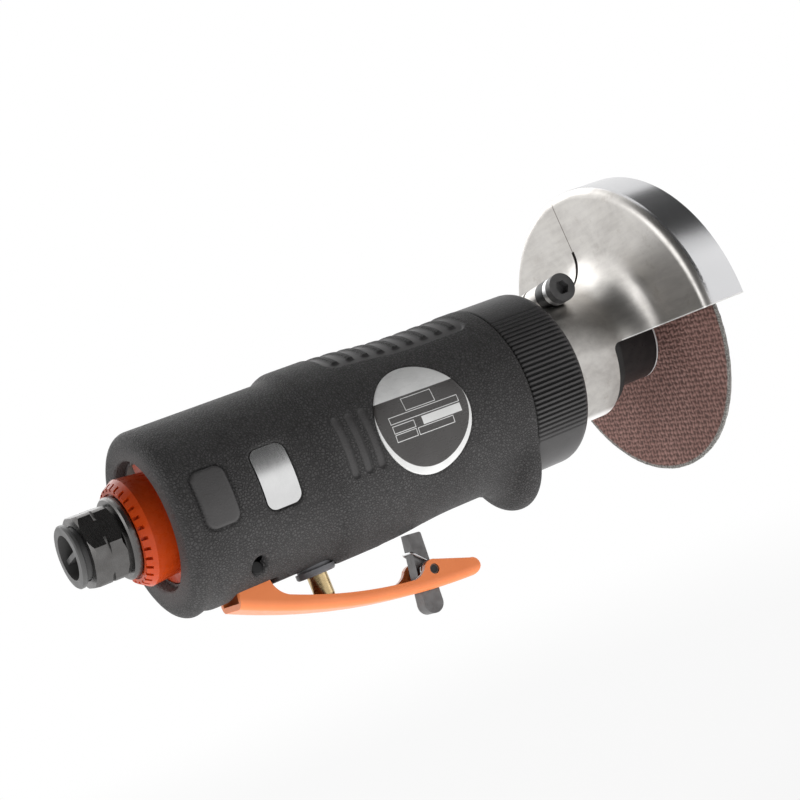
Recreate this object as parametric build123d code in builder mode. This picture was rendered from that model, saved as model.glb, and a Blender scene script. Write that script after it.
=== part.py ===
"""Straight air cut-off tool: moulded grip, throttle lever with lock-off, vane motor, guard and cutting disc.

Millimetres. +X runs along the tool axis from the air inlet to the cutting disc, +Z is up and the lever hangs
below. The origin is on the axis at the start of the inlet thread.
"""
import os
from math import acos, atan2, cos, degrees, hypot, radians, sin, sqrt

from build123d import *

os.makedirs("parts", exist_ok=True)

# Clearances
running_gap = 0.06
seat_gap = 0.05
free_gap = 0.4

# Air inlet: hexagon bushing and its thread plug
thread_r = 5.72
thread_length = 11.0
mouth_r = 6.6
mouth_depth = 6.0
hex_flats = 16.6
hex_turn = 6.0
hex_corner_r = 9.3
hex_length = 8.2
hex_chamfer = 0.8
hex_notch_r = 8.6
hex_notch_width = 0.7
bush_collar_r = 9.9
bush_collar_length = 2.1
bush_collar_step = 0.8
bush_journal_r = 9.2
bush_stud_r = 7.4
bush_stud_length = 12.0
inlet_passage_r = 5.1
plug_flange_r = 7.55
plug_flange_thickness = 1.3
plug_standoff = 1.4
plug_hole_r = 5.35
plug_floor = 1.2
plug_web_thickness = 1.2
plug_web_depth = 3.0
plug_web_turn = 172.0
plug_web_recess = 1.0

# Exhaust deflector and muffler
deflector_length = 10.0
deflector_nose_r = 11.5
deflector_nose_length = 2.3
deflector_band_r = 12.95
deflector_foot_r = 12.4
deflector_lip_r = 14.5
deflector_lip_thickness = 1.4
deflector_lip_start = 86.0
deflector_lip_sweep = 222.0
deflector_mouth_depth = 0.6
notch_count = 30
notch_width = 0.8
notch_depth = 1.3
notch_radial = 2.4
muffler_thickness = 4.6
exhaust_depth = 6.7
exhaust_hole_r = 2.2
exhaust_hole_circle_r = 12.6
exhaust_hole_angles = (30.0, 150.0)

# Moulded grip
housing_r = 19.6
grip_length = 96.2
grip_setback = 5.7
grip_drop = 0.45
grip_lip_r = 15.8
grip_lip_thickness = 3.3
grip_rear_wall = 3.1
grip_rear_edge = 3.0
grip_step_at = 36.8
grip_step_length = 4.8
grip_swell_wall = 4.7
grip_swell_end_at = 51.4
grip_waist_wall = 3.4
grip_waist_length = 19.8
grip_front_edge = 1.0
chin_axis_drop = 12.85
chin_r = 17.55
chin_root_r = 10.55
chin_set_back = 11.9
chin_rise_length = 9.9
chin_foot_share = 0.68
chin_front_edge = 1.9
strip_set_back = 5.0
strip_length = 40.4
strip_width = 31.2
strip_corner = 3.0
strip_depth = 0.75
rib_count = 9
rib_pitch = 4.2
rib_width = 1.7
rib_span = 26.6
rib_height = 0.45
window_at = 25.3
window_length = 9.6
window_height = 15.2
window_corner = 2.6
window_angle = 180.0
window_recess = 0.5
pad_at = 9.9
pad_length = 6.8
pad_height = 12.2
pad_corner = 2.0
pad_angle = 180.0
pad_rise = 0.45
label_set_back = 31.0
label_r = 12.3
label_angle = 180.0
label_thickness = 0.5
label_recess = 0.4
bar_count = 3
bar_at = 43.3
bar_pitch = 3.6
bar_width = 2.2
bar_length = 15.0
bar_angle = 180.0
bar_depth = 0.5

# Throttle lever, its hinge and the lock-off latch
hinge_x = 27.4
hinge_inset = 1.6
hinge_pin_r = 1.6
hinge_pin_length = 24.4
hinge_hole_r = 2.1
hinge_eye_r = 3.5
lever_sheet = 1.5
lever_width = 13.2
lever_bend = 2.4
lever_rear_x = 22.6
lever_heel_drop = 7.5
lever_mid_x = 51.8
lever_mid_drop = 17.85
lever_toe_overhang = 12.1
lever_toe_drop = 5.4
lever_nose_rise = 1.7
lever_nose_height = 4.4
lever_nose_back = 2.0
lever_flange_height = 3.25
lever_hump_front = 4.3
lever_hump_drop = 4.8
lever_neck_length = 3.1
lever_neck_depth = 3.9
ear_rise = 2.4
ear_back = 2.1
ear_foot_back = 6.0
ear_foot_drop = 0.65
latch_x = 72.2
latch_drop = 16.8
latch_pin_r = 1.25
latch_thickness = 4.2
latch_lean = 7.0
latch_shift = -0.4
latch_arm_width = 3.4
latch_tab_width = 5.2
latch_hub_r = 2.6
latch_tip_corner = 0.6
latch_reach_up = 9.7
latch_reach_down = 10.4
latch_slot_gap = 0.7
latch_pocket_floor = 2.6
latch_pocket_length = 14.0
latch_pocket_shift = -2.2
latch_pocket_corner = 1.0
spring_wire_r = 0.28
spring_coil_r = 2.2
spring_extra_turns = 1
spring_side_gap = 0.3
spring_hook_gap = 0.2
spring_hook_rise = 5.2
spring_hook_bend = 0.7
spring_tip_length = 1.6
spring_foot_length = 3.0
spring_foot_angle = -90.0

# Throttle valve
valve_x = 45.75
stem_r = 2.5
stem_end_gap = 0.3
stem_end_round = 1.9
stem_shoulder_z = -13.0
stem_neck_r = 1.5
poppet_r = 3.7
poppet_thickness = 3.0
valve_seat_z = -5.6
valve_throat_r = 3.2
valve_throat_z = -11.0
valve_bore_r = 4.1
bush_flange_r = 4.9
bush_flange_thickness = 1.5
bush_flange_drop = 5.6
bush_barrel_r = 4.3
stem_seal_width = 1.6
stem_seal_depth = 0.9
stem_seal_z = -16.0
valve_cap_length = 7.0
valve_spring_r = 3.4
valve_spring_wall = 0.9
lever_pocket_front = 33.4
lever_pocket_rear = 22.4
lever_pocket_side_gap = 0.5
lever_pocket_rise = 4.8

# Vane motor
motor_bore_r = 16.2
rear_plate_length = 4.5
cylinder_length = 30.0
front_plate_length = 6.0
cylinder_bore_r = 13.1
cylinder_offset = 1.2
rotor_r = 11.6
rotor_end_gap = 0.3
rear_shaft_r = 3.5
front_shaft_r = 4.0
drive_shaft_r = 3.0
drive_shaft_length = 13.0
rear_bearing_r = 6.5
rear_bearing_length = 3.4
front_bearing_r = 8.0
front_bearing_length = 4.5
vane_count = 5
vane_thickness = 1.8
vane_height = 5.2
vane_gap = 0.05
vane_tip_gap = 0.1

# Front collar, nose and spindle
collar_length = 17.0
collar_wall = 4.85
collar_front_edge = 3.0
collar_lip = 2.4
flute_count = 29
flute_pitch = 3.1
flute_depth = 0.55
flute_fade = 0.75
nose_flange_r = 18.0
nose_length = 17.6
nose_spigot_length = 6.5
nose_bore_r = 6.5
spindle_bearing_r = 11.0
spindle_bearing_length = 8.0
circlip_thickness = 1.2
circlip_width = 2.2
spindle_r = 5.0
spindle_socket_r = 5.8
spindle_socket_length = 9.0
spindle_nose_r = 4.0

# Cutting disc, its flanges and screw
disc_standoff = 32.7
disc_r = 37.5
disc_thickness = 1.0
disc_bore_r = 5.0
inner_flange_r = 11.2
inner_flange_length = 15.0
inner_flange_edge = 0.8
outer_flange_r = 9.5
outer_flange_thickness = 3.2
disc_screw_r = 3.0
disc_screw_length = 14.0
disc_screw_head_r = 5.0
disc_screw_head_length = 4.0
disc_screw_socket = 5.0
disc_screw_socket_depth = 2.4

# Wheel guard and its clamp
guard_sheet = 1.5
guard_rim_gap = 3.5
guard_neck_r = 16.5
guard_flare_r = 10.0
guard_edge_r = 2.5
guard_set_back = 6.1
guard_front_reach = 6.0
guard_mouth_angle = 1.5
guard_mouth_at = 14.3
guard_mouth_corner = 2.0
guard_slit_angle = 87.5
guard_slit_width = 1.2
guard_slit_reach = 27.0
clamp_at = 8.8
clamp_axis_r = 17.4
clamp_lug_r = 3.8
clamp_lug_length = 5.8
clamp_bush_length = 3.6
clamp_screw_r = 2.0
clamp_head_r = 3.75
clamp_head_length = 4.0
clamp_socket = 3.4
clamp_socket_depth = 2.2

# Stations along the axis
hex_rear_x = -mouth_depth
hex_front_x = hex_rear_x + hex_length
bush_collar_x = hex_front_x + bush_collar_step
bush_collar_front_x = bush_collar_x + bush_collar_length
deflector_x = bush_collar_front_x - deflector_mouth_depth + free_gap
deflector_front_x = deflector_x + deflector_length
housing_rear_x = deflector_front_x - deflector_lip_thickness
boss_x = deflector_front_x + 2 * free_gap
grip_rear_x = bush_collar_front_x + grip_setback
grip_front_x = grip_rear_x + grip_length
housing_shoulder_x = grip_rear_x + grip_lip_thickness + seat_gap
step_x = grip_rear_x + grip_step_at
swell_x = step_x + grip_step_length
swell_end_x = grip_rear_x + grip_swell_end_at
waist_x = grip_front_x - grip_waist_length
exhaust_floor_x = housing_rear_x + exhaust_depth
collar_x = grip_front_x + seat_gap
collar_front_x = collar_x + collar_length
disc_x = collar_front_x + disc_standoff
disc_front_x = disc_x + disc_thickness
motor_front_x = grip_front_x - nose_spigot_length
front_plate_x = motor_front_x - front_plate_length
cylinder_x = front_plate_x - cylinder_length
motor_rear_x = cylinder_x - rear_plate_length
nose_shoulder_x = collar_front_x - collar_lip - seat_gap
nose_front_x = collar_front_x + nose_length
guard_neck_x = collar_front_x + free_gap
guard_back_x = disc_x - guard_set_back
guard_front_x = disc_x + guard_front_reach
guard_mouth_x = guard_neck_x + guard_mouth_at
clamp_x = guard_neck_x + clamp_at
grip_rear_r = housing_r + grip_rear_wall
grip_swell_r = housing_r + grip_swell_wall
grip_waist_r = housing_r + grip_waist_wall
guard_r = disc_r + guard_rim_gap + guard_sheet
collar_r = nose_flange_r + seat_gap + collar_wall
hinge_z = hinge_inset - housing_r
lever_heel_z = hinge_z - lever_heel_drop
lever_web_mid = (lever_mid_x, hinge_z - lever_mid_drop)
lever_hump_z = hinge_z - lever_hump_drop
lever_pocket_roof = hinge_z + lever_pocket_rise
latch_z = hinge_z - latch_drop
latch_pocket_roof = -housing_r - latch_pocket_floor
bush_flange_z = -housing_r - bush_flange_drop
lever_half = lever_width / 2
lever_inner_half = lever_half - lever_sheet
lever_toe_x = latch_x + lever_toe_overhang
lever_toe_z = latch_z - lever_toe_drop


def radial_plane(angle):
    """Half-plane through the tool axis: local x along it, local y outwards at an angle from +Y to +Z."""
    return Plane(origin=(0, 0, 0), x_dir=(1, 0, 0), z_dir=(0, -sin(radians(angle)), cos(radians(angle))))


def biarc(start, start_dir, end, end_dir):
    """Two tangent arcs from one point and direction to another, drawn in the open line builder."""
    start, end = Vector(start), Vector(end)
    start_dir, end_dir = Vector(start_dir).normalized(), Vector(end_dir).normalized()
    chord, both = end - start, start_dir + end_dir
    square, cross = both.dot(both) - 4, chord.dot(both)
    if abs(square) < 1e-9:
        reach = chord.dot(chord) / (2 * cross)
    else:
        reach = (cross - sqrt(cross * cross - square * chord.dot(chord))) / square
    first, second = start + start_dir * reach, end - end_dir * reach
    middle = (first + second) * 0.5
    TangentArc(start, middle, tangent=start_dir)
    TangentArc(middle, end, tangent=second - first)


def grip_form(inset):
    """Outer form of the grip, turned about its own axis and taken in by an inset."""
    rear_r, swell_r, waist_r = grip_rear_r - inset, grip_swell_r - inset, grip_waist_r - inset
    rear_edge_x, front_edge_x = grip_rear_x + grip_rear_edge, grip_front_x - grip_front_edge
    with BuildPart() as form:
        with BuildSketch(Plane(origin=(0, 0, -grip_drop), x_dir=(1, 0, 0), z_dir=(0, -1, 0))):
            with BuildLine():
                Polyline((grip_front_x, waist_r - grip_front_edge), (grip_front_x, 0), (grip_rear_x, 0),
                         (grip_rear_x, rear_r - grip_rear_edge))
                TangentArc((grip_rear_x, rear_r - grip_rear_edge), (rear_edge_x, rear_r), tangent=(0, 1))
                Line((rear_edge_x, rear_r), (step_x, rear_r))
                biarc((step_x, rear_r), (1, 0), (swell_x, swell_r), (1, 0))
                Line((swell_x, swell_r), (swell_end_x, swell_r))
                biarc((swell_end_x, swell_r), (1, 0), (waist_x, waist_r), (1, 0))
                Line((waist_x, waist_r), (front_edge_x, waist_r))
                TangentArc((front_edge_x, waist_r), (grip_front_x, waist_r - grip_front_edge), tangent=(1, 0))
            make_face()
        revolve(axis=Axis((0, 0, -grip_drop), (1, 0, 0)))
    return form.part


def grip_patch(outline, station, angle, floor, top=None):
    """Outline standing out of the grip at an angle, from one inset of its form to another or clear of it."""
    out = Vector(0, cos(radians(angle)), sin(radians(angle)))
    with BuildPart() as patch:
        with BuildSketch(Plane(origin=(station, 0, -grip_drop), x_dir=(1, 0, 0), z_dir=out)):
            add(outline)
        extrude(amount=2 * grip_swell_r)
        add(grip_form(floor), mode=Mode.SUBTRACT)
        if top is not None:
            add(grip_form(top), mode=Mode.INTERSECT)
    return patch.part


def lever_web_point(shift):
    """The three points of the lever web's long curve, moved up by a shift."""
    points = ((lever_rear_x, lever_heel_z), lever_web_mid, (lever_toe_x - lever_bend, lever_toe_z))
    return [(x, z + shift) for x, z in points]


def web_height(station):
    """Height of the lever's inner web face at a station, on the circle through its three points."""
    (ax, az), (bx, bz), (cx, cz) = lever_web_point(lever_sheet)
    d = 2 * (ax * (bz - cz) + bx * (cz - az) + cx * (az - bz))
    a2, b2, c2 = ax * ax + az * az, bx * bx + bz * bz, cx * cx + cz * cz
    ux = (a2 * (bz - cz) + b2 * (cz - az) + c2 * (az - bz)) / d
    uz = (a2 * (cx - bx) + b2 * (ax - cx) + c2 * (bx - ax)) / d
    return uz - sqrt((ax - ux) ** 2 + (az - uz) ** 2 - (station - ux) ** 2)


# Inlet bushing: notched hexagon, round collar, journal for the deflector and a stud into the housing
with BuildPart() as inlet_bushing:
    with BuildSketch(Plane.YZ.offset(hex_rear_x)):
        RegularPolygon(hex_flats / 2, 6, major_radius=False, rotation=hex_turn)
    extrude(amount=hex_length)
    with BuildSketch(Plane.XZ):
        with BuildLine():
            Polyline(
                (hex_rear_x, 0),
                (hex_rear_x, hex_corner_r - hex_chamfer),
                (hex_rear_x + hex_chamfer, hex_corner_r),
                (hex_front_x - hex_chamfer, hex_corner_r),
                (hex_front_x, hex_corner_r - hex_chamfer),
                (hex_front_x, 0),
                close=True,
            )
        make_face()
    revolve(axis=Axis.X, mode=Mode.INTERSECT)
    notch_x = (hex_rear_x + hex_front_x) / 2
    with BuildSketch(Plane.YZ.offset(notch_x - hex_notch_width / 2)):
        Circle(hex_corner_r + hex_chamfer)
        Circle(hex_notch_r, mode=Mode.SUBTRACT)
    extrude(amount=hex_notch_width, mode=Mode.SUBTRACT)
    with BuildSketch(Plane.XZ):
        with BuildLine():
            Polyline(
                (hex_front_x, 0),
                (hex_front_x, hex_notch_r - hex_chamfer),
                (bush_collar_x, hex_notch_r - hex_chamfer),
                (bush_collar_x, bush_collar_r),
                (bush_collar_front_x, bush_collar_r),
                (bush_collar_front_x, bush_journal_r),
                (boss_x, bush_journal_r),
                (boss_x, bush_stud_r),
                (boss_x + bush_stud_length, bush_stud_r),
                (boss_x + bush_stud_length, 0),
                close=True,
            )
        make_face()
    revolve(axis=Axis.X)
    chamfer(inlet_bushing.edges().filter_by(GeomType.CIRCLE).filter_by(
        lambda e: abs(e.radius - bush_collar_r) < seat_gap / 10), bush_collar_length / 5)
    with BuildSketch(Plane.XZ):
        with BuildLine():
            Polyline(
                (hex_rear_x, 0),
                (hex_rear_x, mouth_r),
                (0, mouth_r),
                (0, thread_r),
                (thread_length, thread_r),
                (thread_length, inlet_passage_r),
                (boss_x + bush_stud_length, inlet_passage_r),
                (boss_x + bush_stud_length, 0),
                close=True,
            )
        make_face()
    revolve(axis=Axis.X, mode=Mode.SUBTRACT)

# Thread plug: a hollow push-in cap with a web across its hole
plug_face_x = hex_rear_x - plug_standoff - plug_flange_thickness
with BuildPart() as thread_plug:
    with BuildSketch(Plane.XZ):
        with BuildLine():
            Polyline(
                (plug_face_x, plug_hole_r),
                (plug_face_x, plug_flange_r),
                (plug_face_x + plug_flange_thickness, plug_flange_r),
                (plug_face_x + plug_flange_thickness, mouth_r - 4 * running_gap),
                (-free_gap, mouth_r - 4 * running_gap),
                (-free_gap, 0),
                (-free_gap - plug_floor, 0),
                (-free_gap - plug_floor, plug_hole_r),
                close=True,
            )
        make_face()
    revolve(axis=Axis.X)
    chamfer(thread_plug.edges().filter_by(GeomType.CIRCLE).filter_by(
        lambda e: abs(e.radius - plug_flange_r) < seat_gap / 10), plug_flange_thickness / 4)
    with BuildSketch(Plane.YZ.offset(plug_face_x + plug_web_recess)):
        Rectangle(2 * plug_hole_r + plug_web_thickness / 2, plug_web_thickness, rotation=plug_web_turn)
    extrude(amount=plug_web_depth)

# Exhaust deflector: toothed ring turned by hand, with a lip that closes part of the exhaust
deflector_lip_x = deflector_front_x - deflector_lip_thickness
with BuildPart() as exhaust_deflector:
    with BuildSketch(Plane.XZ):
        with BuildLine():
            Polyline(
                (deflector_x, bush_collar_r + free_gap),
                (deflector_x, deflector_nose_r),
                (deflector_x + deflector_nose_length, deflector_band_r),
                (deflector_lip_x, deflector_foot_r),
                (deflector_front_x, deflector_foot_r),
                (deflector_front_x, bush_journal_r + running_gap),
                (deflector_x + deflector_mouth_depth, bush_journal_r + running_gap),
                (deflector_x + deflector_mouth_depth, bush_collar_r + free_gap),
                close=True,
            )
        make_face()
    revolve(axis=Axis.X)
    with BuildSketch(Plane.YZ.offset(deflector_x)):
        with PolarLocations(deflector_nose_r + notch_radial / 4, notch_count):
            Rectangle(notch_radial, notch_width)
    extrude(amount=notch_depth, mode=Mode.SUBTRACT)
    with BuildSketch(radial_plane(deflector_lip_start)):
        with BuildLine():
            Polyline(
                (deflector_lip_x, bush_journal_r + 4 * running_gap),
                (deflector_lip_x, deflector_lip_r),
                (deflector_front_x, deflector_lip_r),
                (deflector_front_x, bush_journal_r + 4 * running_gap),
                close=True,
            )
        make_face()
    revolve(axis=Axis.X, revolution_arc=deflector_lip_sweep)

# Muffler: porous ring at the floor of the exhaust annulus
exhaust_outer_r = deflector_lip_r + free_gap
with BuildPart() as muffler_ring:
    with BuildSketch(Plane.YZ.offset(exhaust_floor_x - muffler_thickness)):
        Circle(exhaust_outer_r - seat_gap)
        Circle(bush_journal_r + free_gap + seat_gap, mode=Mode.SUBTRACT)
    extrude(amount=muffler_thickness)

# Motor housing: aluminium barrel with the exhaust annulus, inlet, valve bores and motor bore
with BuildSketch() as window_outline:
    RectangleRounded(window_length, window_height, window_corner)
with BuildSketch() as window_pad_outline:
    RectangleRounded(window_length - 2 * free_gap, window_height - 2 * free_gap, window_corner - free_gap)
window_x = grip_rear_x + window_at
window_floor = grip_rear_wall + grip_drop + free_gap
window_pad = grip_patch(window_pad_outline.sketch, window_x, window_angle, window_floor, window_recess)
with BuildPart() as motor_housing:
    with BuildSketch(Plane.XZ):
        with BuildLine():
            Polyline(
                (housing_rear_x, 0),
                (housing_rear_x, grip_lip_r - 4 * seat_gap),
                (housing_shoulder_x, grip_lip_r - 4 * seat_gap),
                (housing_shoulder_x, housing_r),
                (grip_front_x, housing_r),
                (grip_front_x, 0),
                close=True,
            )
        make_face()
    revolve(axis=Axis.X)
    with BuildSketch(Plane.YZ.offset(housing_rear_x)):
        Circle(exhaust_outer_r)
    extrude(amount=boss_x - housing_rear_x, mode=Mode.SUBTRACT)
    with BuildSketch(Plane.YZ.offset(boss_x)):
        Circle(exhaust_outer_r)
        Circle(bush_journal_r + free_gap, mode=Mode.SUBTRACT)
    extrude(amount=exhaust_floor_x - boss_x, mode=Mode.SUBTRACT)
    with BuildSketch(Plane.YZ.offset(exhaust_floor_x)):
        for exhaust_angle in exhaust_hole_angles:
            with Locations((exhaust_hole_circle_r * cos(radians(exhaust_angle)),
                            exhaust_hole_circle_r * sin(radians(exhaust_angle)))):
                Circle(exhaust_hole_r)
    extrude(amount=motor_rear_x - exhaust_floor_x, mode=Mode.SUBTRACT)
    with BuildSketch(Plane.YZ.offset(boss_x)):
        Circle(bush_stud_r + seat_gap)
    extrude(amount=bush_stud_length + seat_gap, mode=Mode.SUBTRACT)
    with BuildSketch(Plane.YZ.offset(boss_x)):
        Circle(inlet_passage_r)
    extrude(amount=valve_x - boss_x, mode=Mode.SUBTRACT)
    with BuildSketch(Plane.YZ.offset(motor_rear_x)):
        Circle(motor_bore_r)
    extrude(amount=grip_front_x - motor_rear_x, mode=Mode.SUBTRACT)
    with BuildSketch(Plane.XY.offset(valve_seat_z)):
        with Locations((valve_x, 0)):
            Circle(valve_bore_r)
    extrude(amount=housing_r - valve_seat_z, mode=Mode.SUBTRACT)
    with BuildSketch(Plane.XY.offset(-housing_r)):
        with Locations((valve_x, 0)):
            Circle(valve_bore_r)
    extrude(amount=housing_r + valve_throat_z, mode=Mode.SUBTRACT)
    with BuildSketch(Plane.XY.offset(valve_throat_z)):
        with Locations((valve_x, 0)):
            Circle(valve_throat_r)
    extrude(amount=valve_seat_z - valve_throat_z, mode=Mode.SUBTRACT)
    with BuildSketch(Plane.YZ.offset(valve_x)):
        with Locations((0, (valve_seat_z + valve_throat_z) / 2)):
            Circle(exhaust_hole_r)
    extrude(amount=motor_rear_x - valve_x, mode=Mode.SUBTRACT)
    with BuildSketch(Plane.XZ):
        with BuildLine():
            Polyline(
                (lever_pocket_rear, lever_pocket_roof),
                (lever_pocket_front, lever_pocket_roof),
                (lever_pocket_front, -2 * housing_r),
                (lever_pocket_rear, -2 * housing_r),
                close=True,
            )
        make_face()
    extrude(amount=lever_half + lever_pocket_side_gap, both=True, mode=Mode.SUBTRACT)
    with BuildSketch(Plane.XZ):
        with Locations((hinge_x, hinge_z)):
            Circle(hinge_pin_r + seat_gap / 2)
    extrude(amount=2 * housing_r, both=True, mode=Mode.SUBTRACT)
    add(window_pad)

# Grip: moulded sleeve with a palm swell, a finger stop, a ribbed strip on top and a window to the housing
chin_axis = Axis((0, 0, -chin_axis_drop), (1, 0, 0))
chin_start = (grip_front_x - chin_set_back, chin_root_r - chin_axis_drop)
chin_crest = (chin_start[0] + chin_rise_length, chin_r - chin_axis_drop)
chin_turn = (chin_start[0] + chin_foot_share * (chin_crest[0] - chin_start[0]),
             chin_start[1] + chin_foot_share * (chin_crest[1] - chin_start[1]))
with BuildSketch() as label_outline:
    Circle(label_r + free_gap)
with BuildSketch() as bar_outline:
    SlotOverall(bar_length, bar_width, rotation=90)
with BuildSketch() as pad_outline:
    RectangleRounded(pad_length, pad_height, pad_corner)
with BuildSketch() as strip_outline:
    RectangleRounded(strip_length, strip_width, strip_corner)
with BuildSketch() as rib_outline:
    for rib in range(rib_count):
        with Locations((rib_pitch * (rib - (rib_count - 1) / 2), 0)):
            Rectangle(rib_width, rib_span)
label_x = grip_front_x - label_set_back
strip_x = grip_front_x - strip_set_back - strip_length / 2
label_pocket = grip_patch(label_outline.sketch, label_x, label_angle, label_recess)
window_cut = grip_patch(window_outline.sketch, window_x, window_angle, window_floor)
side_pad = grip_patch(pad_outline.sketch, grip_rear_x + pad_at, pad_angle, pad_rise, -pad_rise)
strip_cut = grip_patch(strip_outline.sketch, strip_x, 90, strip_depth)
strip_ribs = grip_patch(rib_outline.sketch, strip_x, 90, strip_depth + rib_height, strip_depth - rib_height)
bar_grooves = [
    grip_patch(bar_outline.sketch, grip_rear_x + bar_at + bar_pitch * place, bar_angle, bar_depth)
    for place in range(bar_count)
]
with BuildPart() as grip_sleeve:
    add(grip_form(0))
    with BuildSketch(Plane.XZ):
        with BuildLine():
            Polyline(
                (grip_front_x, chin_r - chin_front_edge - chin_axis_drop),
                (grip_front_x, -chin_axis_drop),
                (chin_start[0], -chin_axis_drop),
                chin_start,
            )
            chin_foot = TangentArc(chin_start, chin_turn, tangent=(1, 0))
            TangentArc(chin_turn, chin_crest, tangent=chin_foot % 1)
            Line(chin_crest, (grip_front_x - chin_front_edge, chin_crest[1]))
            TangentArc((grip_front_x - chin_front_edge, chin_crest[1]),
                       (grip_front_x, chin_crest[1] - chin_front_edge), tangent=(1, 0))
        make_face()
    revolve(axis=chin_axis)
    add(strip_cut, mode=Mode.SUBTRACT)
    add(strip_ribs)
    add(side_pad)
    with BuildSketch(Plane.XZ):
        with BuildLine():
            Polyline(
                (grip_rear_x, 0),
                (grip_rear_x, grip_lip_r),
                (housing_shoulder_x - seat_gap, grip_lip_r),
                (housing_shoulder_x - seat_gap, housing_r + seat_gap),
                (grip_front_x, housing_r + seat_gap),
                (grip_front_x, 0),
                close=True,
            )
        make_face()
    revolve(axis=Axis.X, mode=Mode.SUBTRACT)
    add(window_cut, mode=Mode.SUBTRACT)
    add(label_pocket, mode=Mode.SUBTRACT)
    for groove in bar_grooves:
        add(groove, mode=Mode.SUBTRACT)
    with BuildSketch(Plane.XZ):
        with Locations((hinge_x, hinge_z)):
            Circle(hinge_pin_r + seat_gap)
    extrude(amount=2 * grip_swell_r, both=True, mode=Mode.SUBTRACT)
    for side in (-1, 1):
        with BuildSketch(Plane.XZ.offset(side * hinge_pin_length / 2)):
            with Locations((hinge_x, hinge_z)):
                Circle(hinge_hole_r)
        extrude(amount=side * grip_swell_r, mode=Mode.SUBTRACT)
    with BuildSketch(Plane.XY.offset(-2 * grip_swell_r)):
        with Locations((valve_x, 0)):
            Circle(bush_barrel_r + 4 * seat_gap)
    extrude(amount=2 * grip_swell_r, mode=Mode.SUBTRACT)
    with BuildSketch(Plane.XY.offset(bush_flange_z + bush_flange_thickness + seat_gap)):
        with Locations((valve_x, 0)):
            Circle(bush_flange_r + free_gap)
    extrude(amount=-grip_swell_r, mode=Mode.SUBTRACT)
    with BuildSketch(Plane.XZ):
        with BuildLine():
            Polyline(
                (lever_pocket_rear, 0),
                (lever_pocket_front, 0),
                (lever_pocket_front, -2 * grip_swell_r),
                (lever_pocket_rear, -2 * grip_swell_r),
                close=True,
            )
        make_face()
    extrude(amount=lever_half + lever_pocket_side_gap, both=True, mode=Mode.SUBTRACT)
    with BuildSketch(Plane.XY.offset(latch_pocket_roof)):
        with Locations((latch_x + latch_pocket_shift, 0)):
            RectangleRounded(latch_pocket_length, latch_thickness + 4 * latch_slot_gap, latch_pocket_corner)
    extrude(amount=-2 * grip_swell_r, mode=Mode.SUBTRACT)

# Label: round foil plate lying in its recess on the grip
with BuildSketch() as plate_outline:
    Circle(label_r)
with BuildPart() as data_plate:
    plate_floor = label_recess - seat_gap / 5
    add(grip_patch(plate_outline.sketch, label_x, label_angle, plate_floor, label_recess - label_thickness))

# Lever hinge pin, held in the walls of the housing and grip
with BuildPart() as lever_pin:
    with BuildSketch(Plane.XZ):
        with Locations((hinge_x, hinge_z)):
            Circle(hinge_pin_r)
    extrude(amount=hinge_pin_length / 2 - seat_gap, both=True)
    chamfer(lever_pin.edges().filter_by(GeomType.CIRCLE), hinge_pin_r / 5)

# Throttle lever: stamped channel with hinge eyes at the rear and latch ears at the front
web_rear, web_mid, web_toe = lever_web_point(0)
nose = (lever_toe_x, lever_toe_z + lever_nose_rise)
toe_top = (lever_toe_x - lever_nose_back, lever_toe_z + lever_nose_height)
ear_front = (latch_x + ear_back / 2, latch_z + ear_rise - ear_back / 8)
ear_crown = (latch_x - ear_back / 3, latch_z + ear_rise)
ear_rear = (latch_x - ear_back, latch_z + 2 * ear_rise / 3)
ear_foot = (latch_x - ear_foot_back, latch_z - ear_foot_drop)
ear_hollow = (latch_x - (ear_back + ear_foot_back) / 2.4, latch_z + ear_rise / 12)
hump_front = (hinge_x + lever_hump_front, lever_hump_z)
neck_foot = (hump_front[0] + lever_neck_length, lever_hump_z - lever_neck_depth)
neck_hollow = (hump_front[0] + lever_neck_length / 2.4, lever_hump_z - lever_neck_depth / 1.6)
mid_top = (lever_web_mid[0], lever_web_mid[1] + lever_flange_height)
eye_front = (hinge_x + hinge_eye_r, hinge_z)
eye_rear = (hinge_x - hinge_eye_r, hinge_z)
lever_top_z = hinge_z + hinge_eye_r
web_end_x = lever_toe_x + lever_bend
web_end = (web_end_x, web_height(web_end_x) - lever_sheet)
under_z = lever_toe_z - 2 * lever_bend
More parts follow.
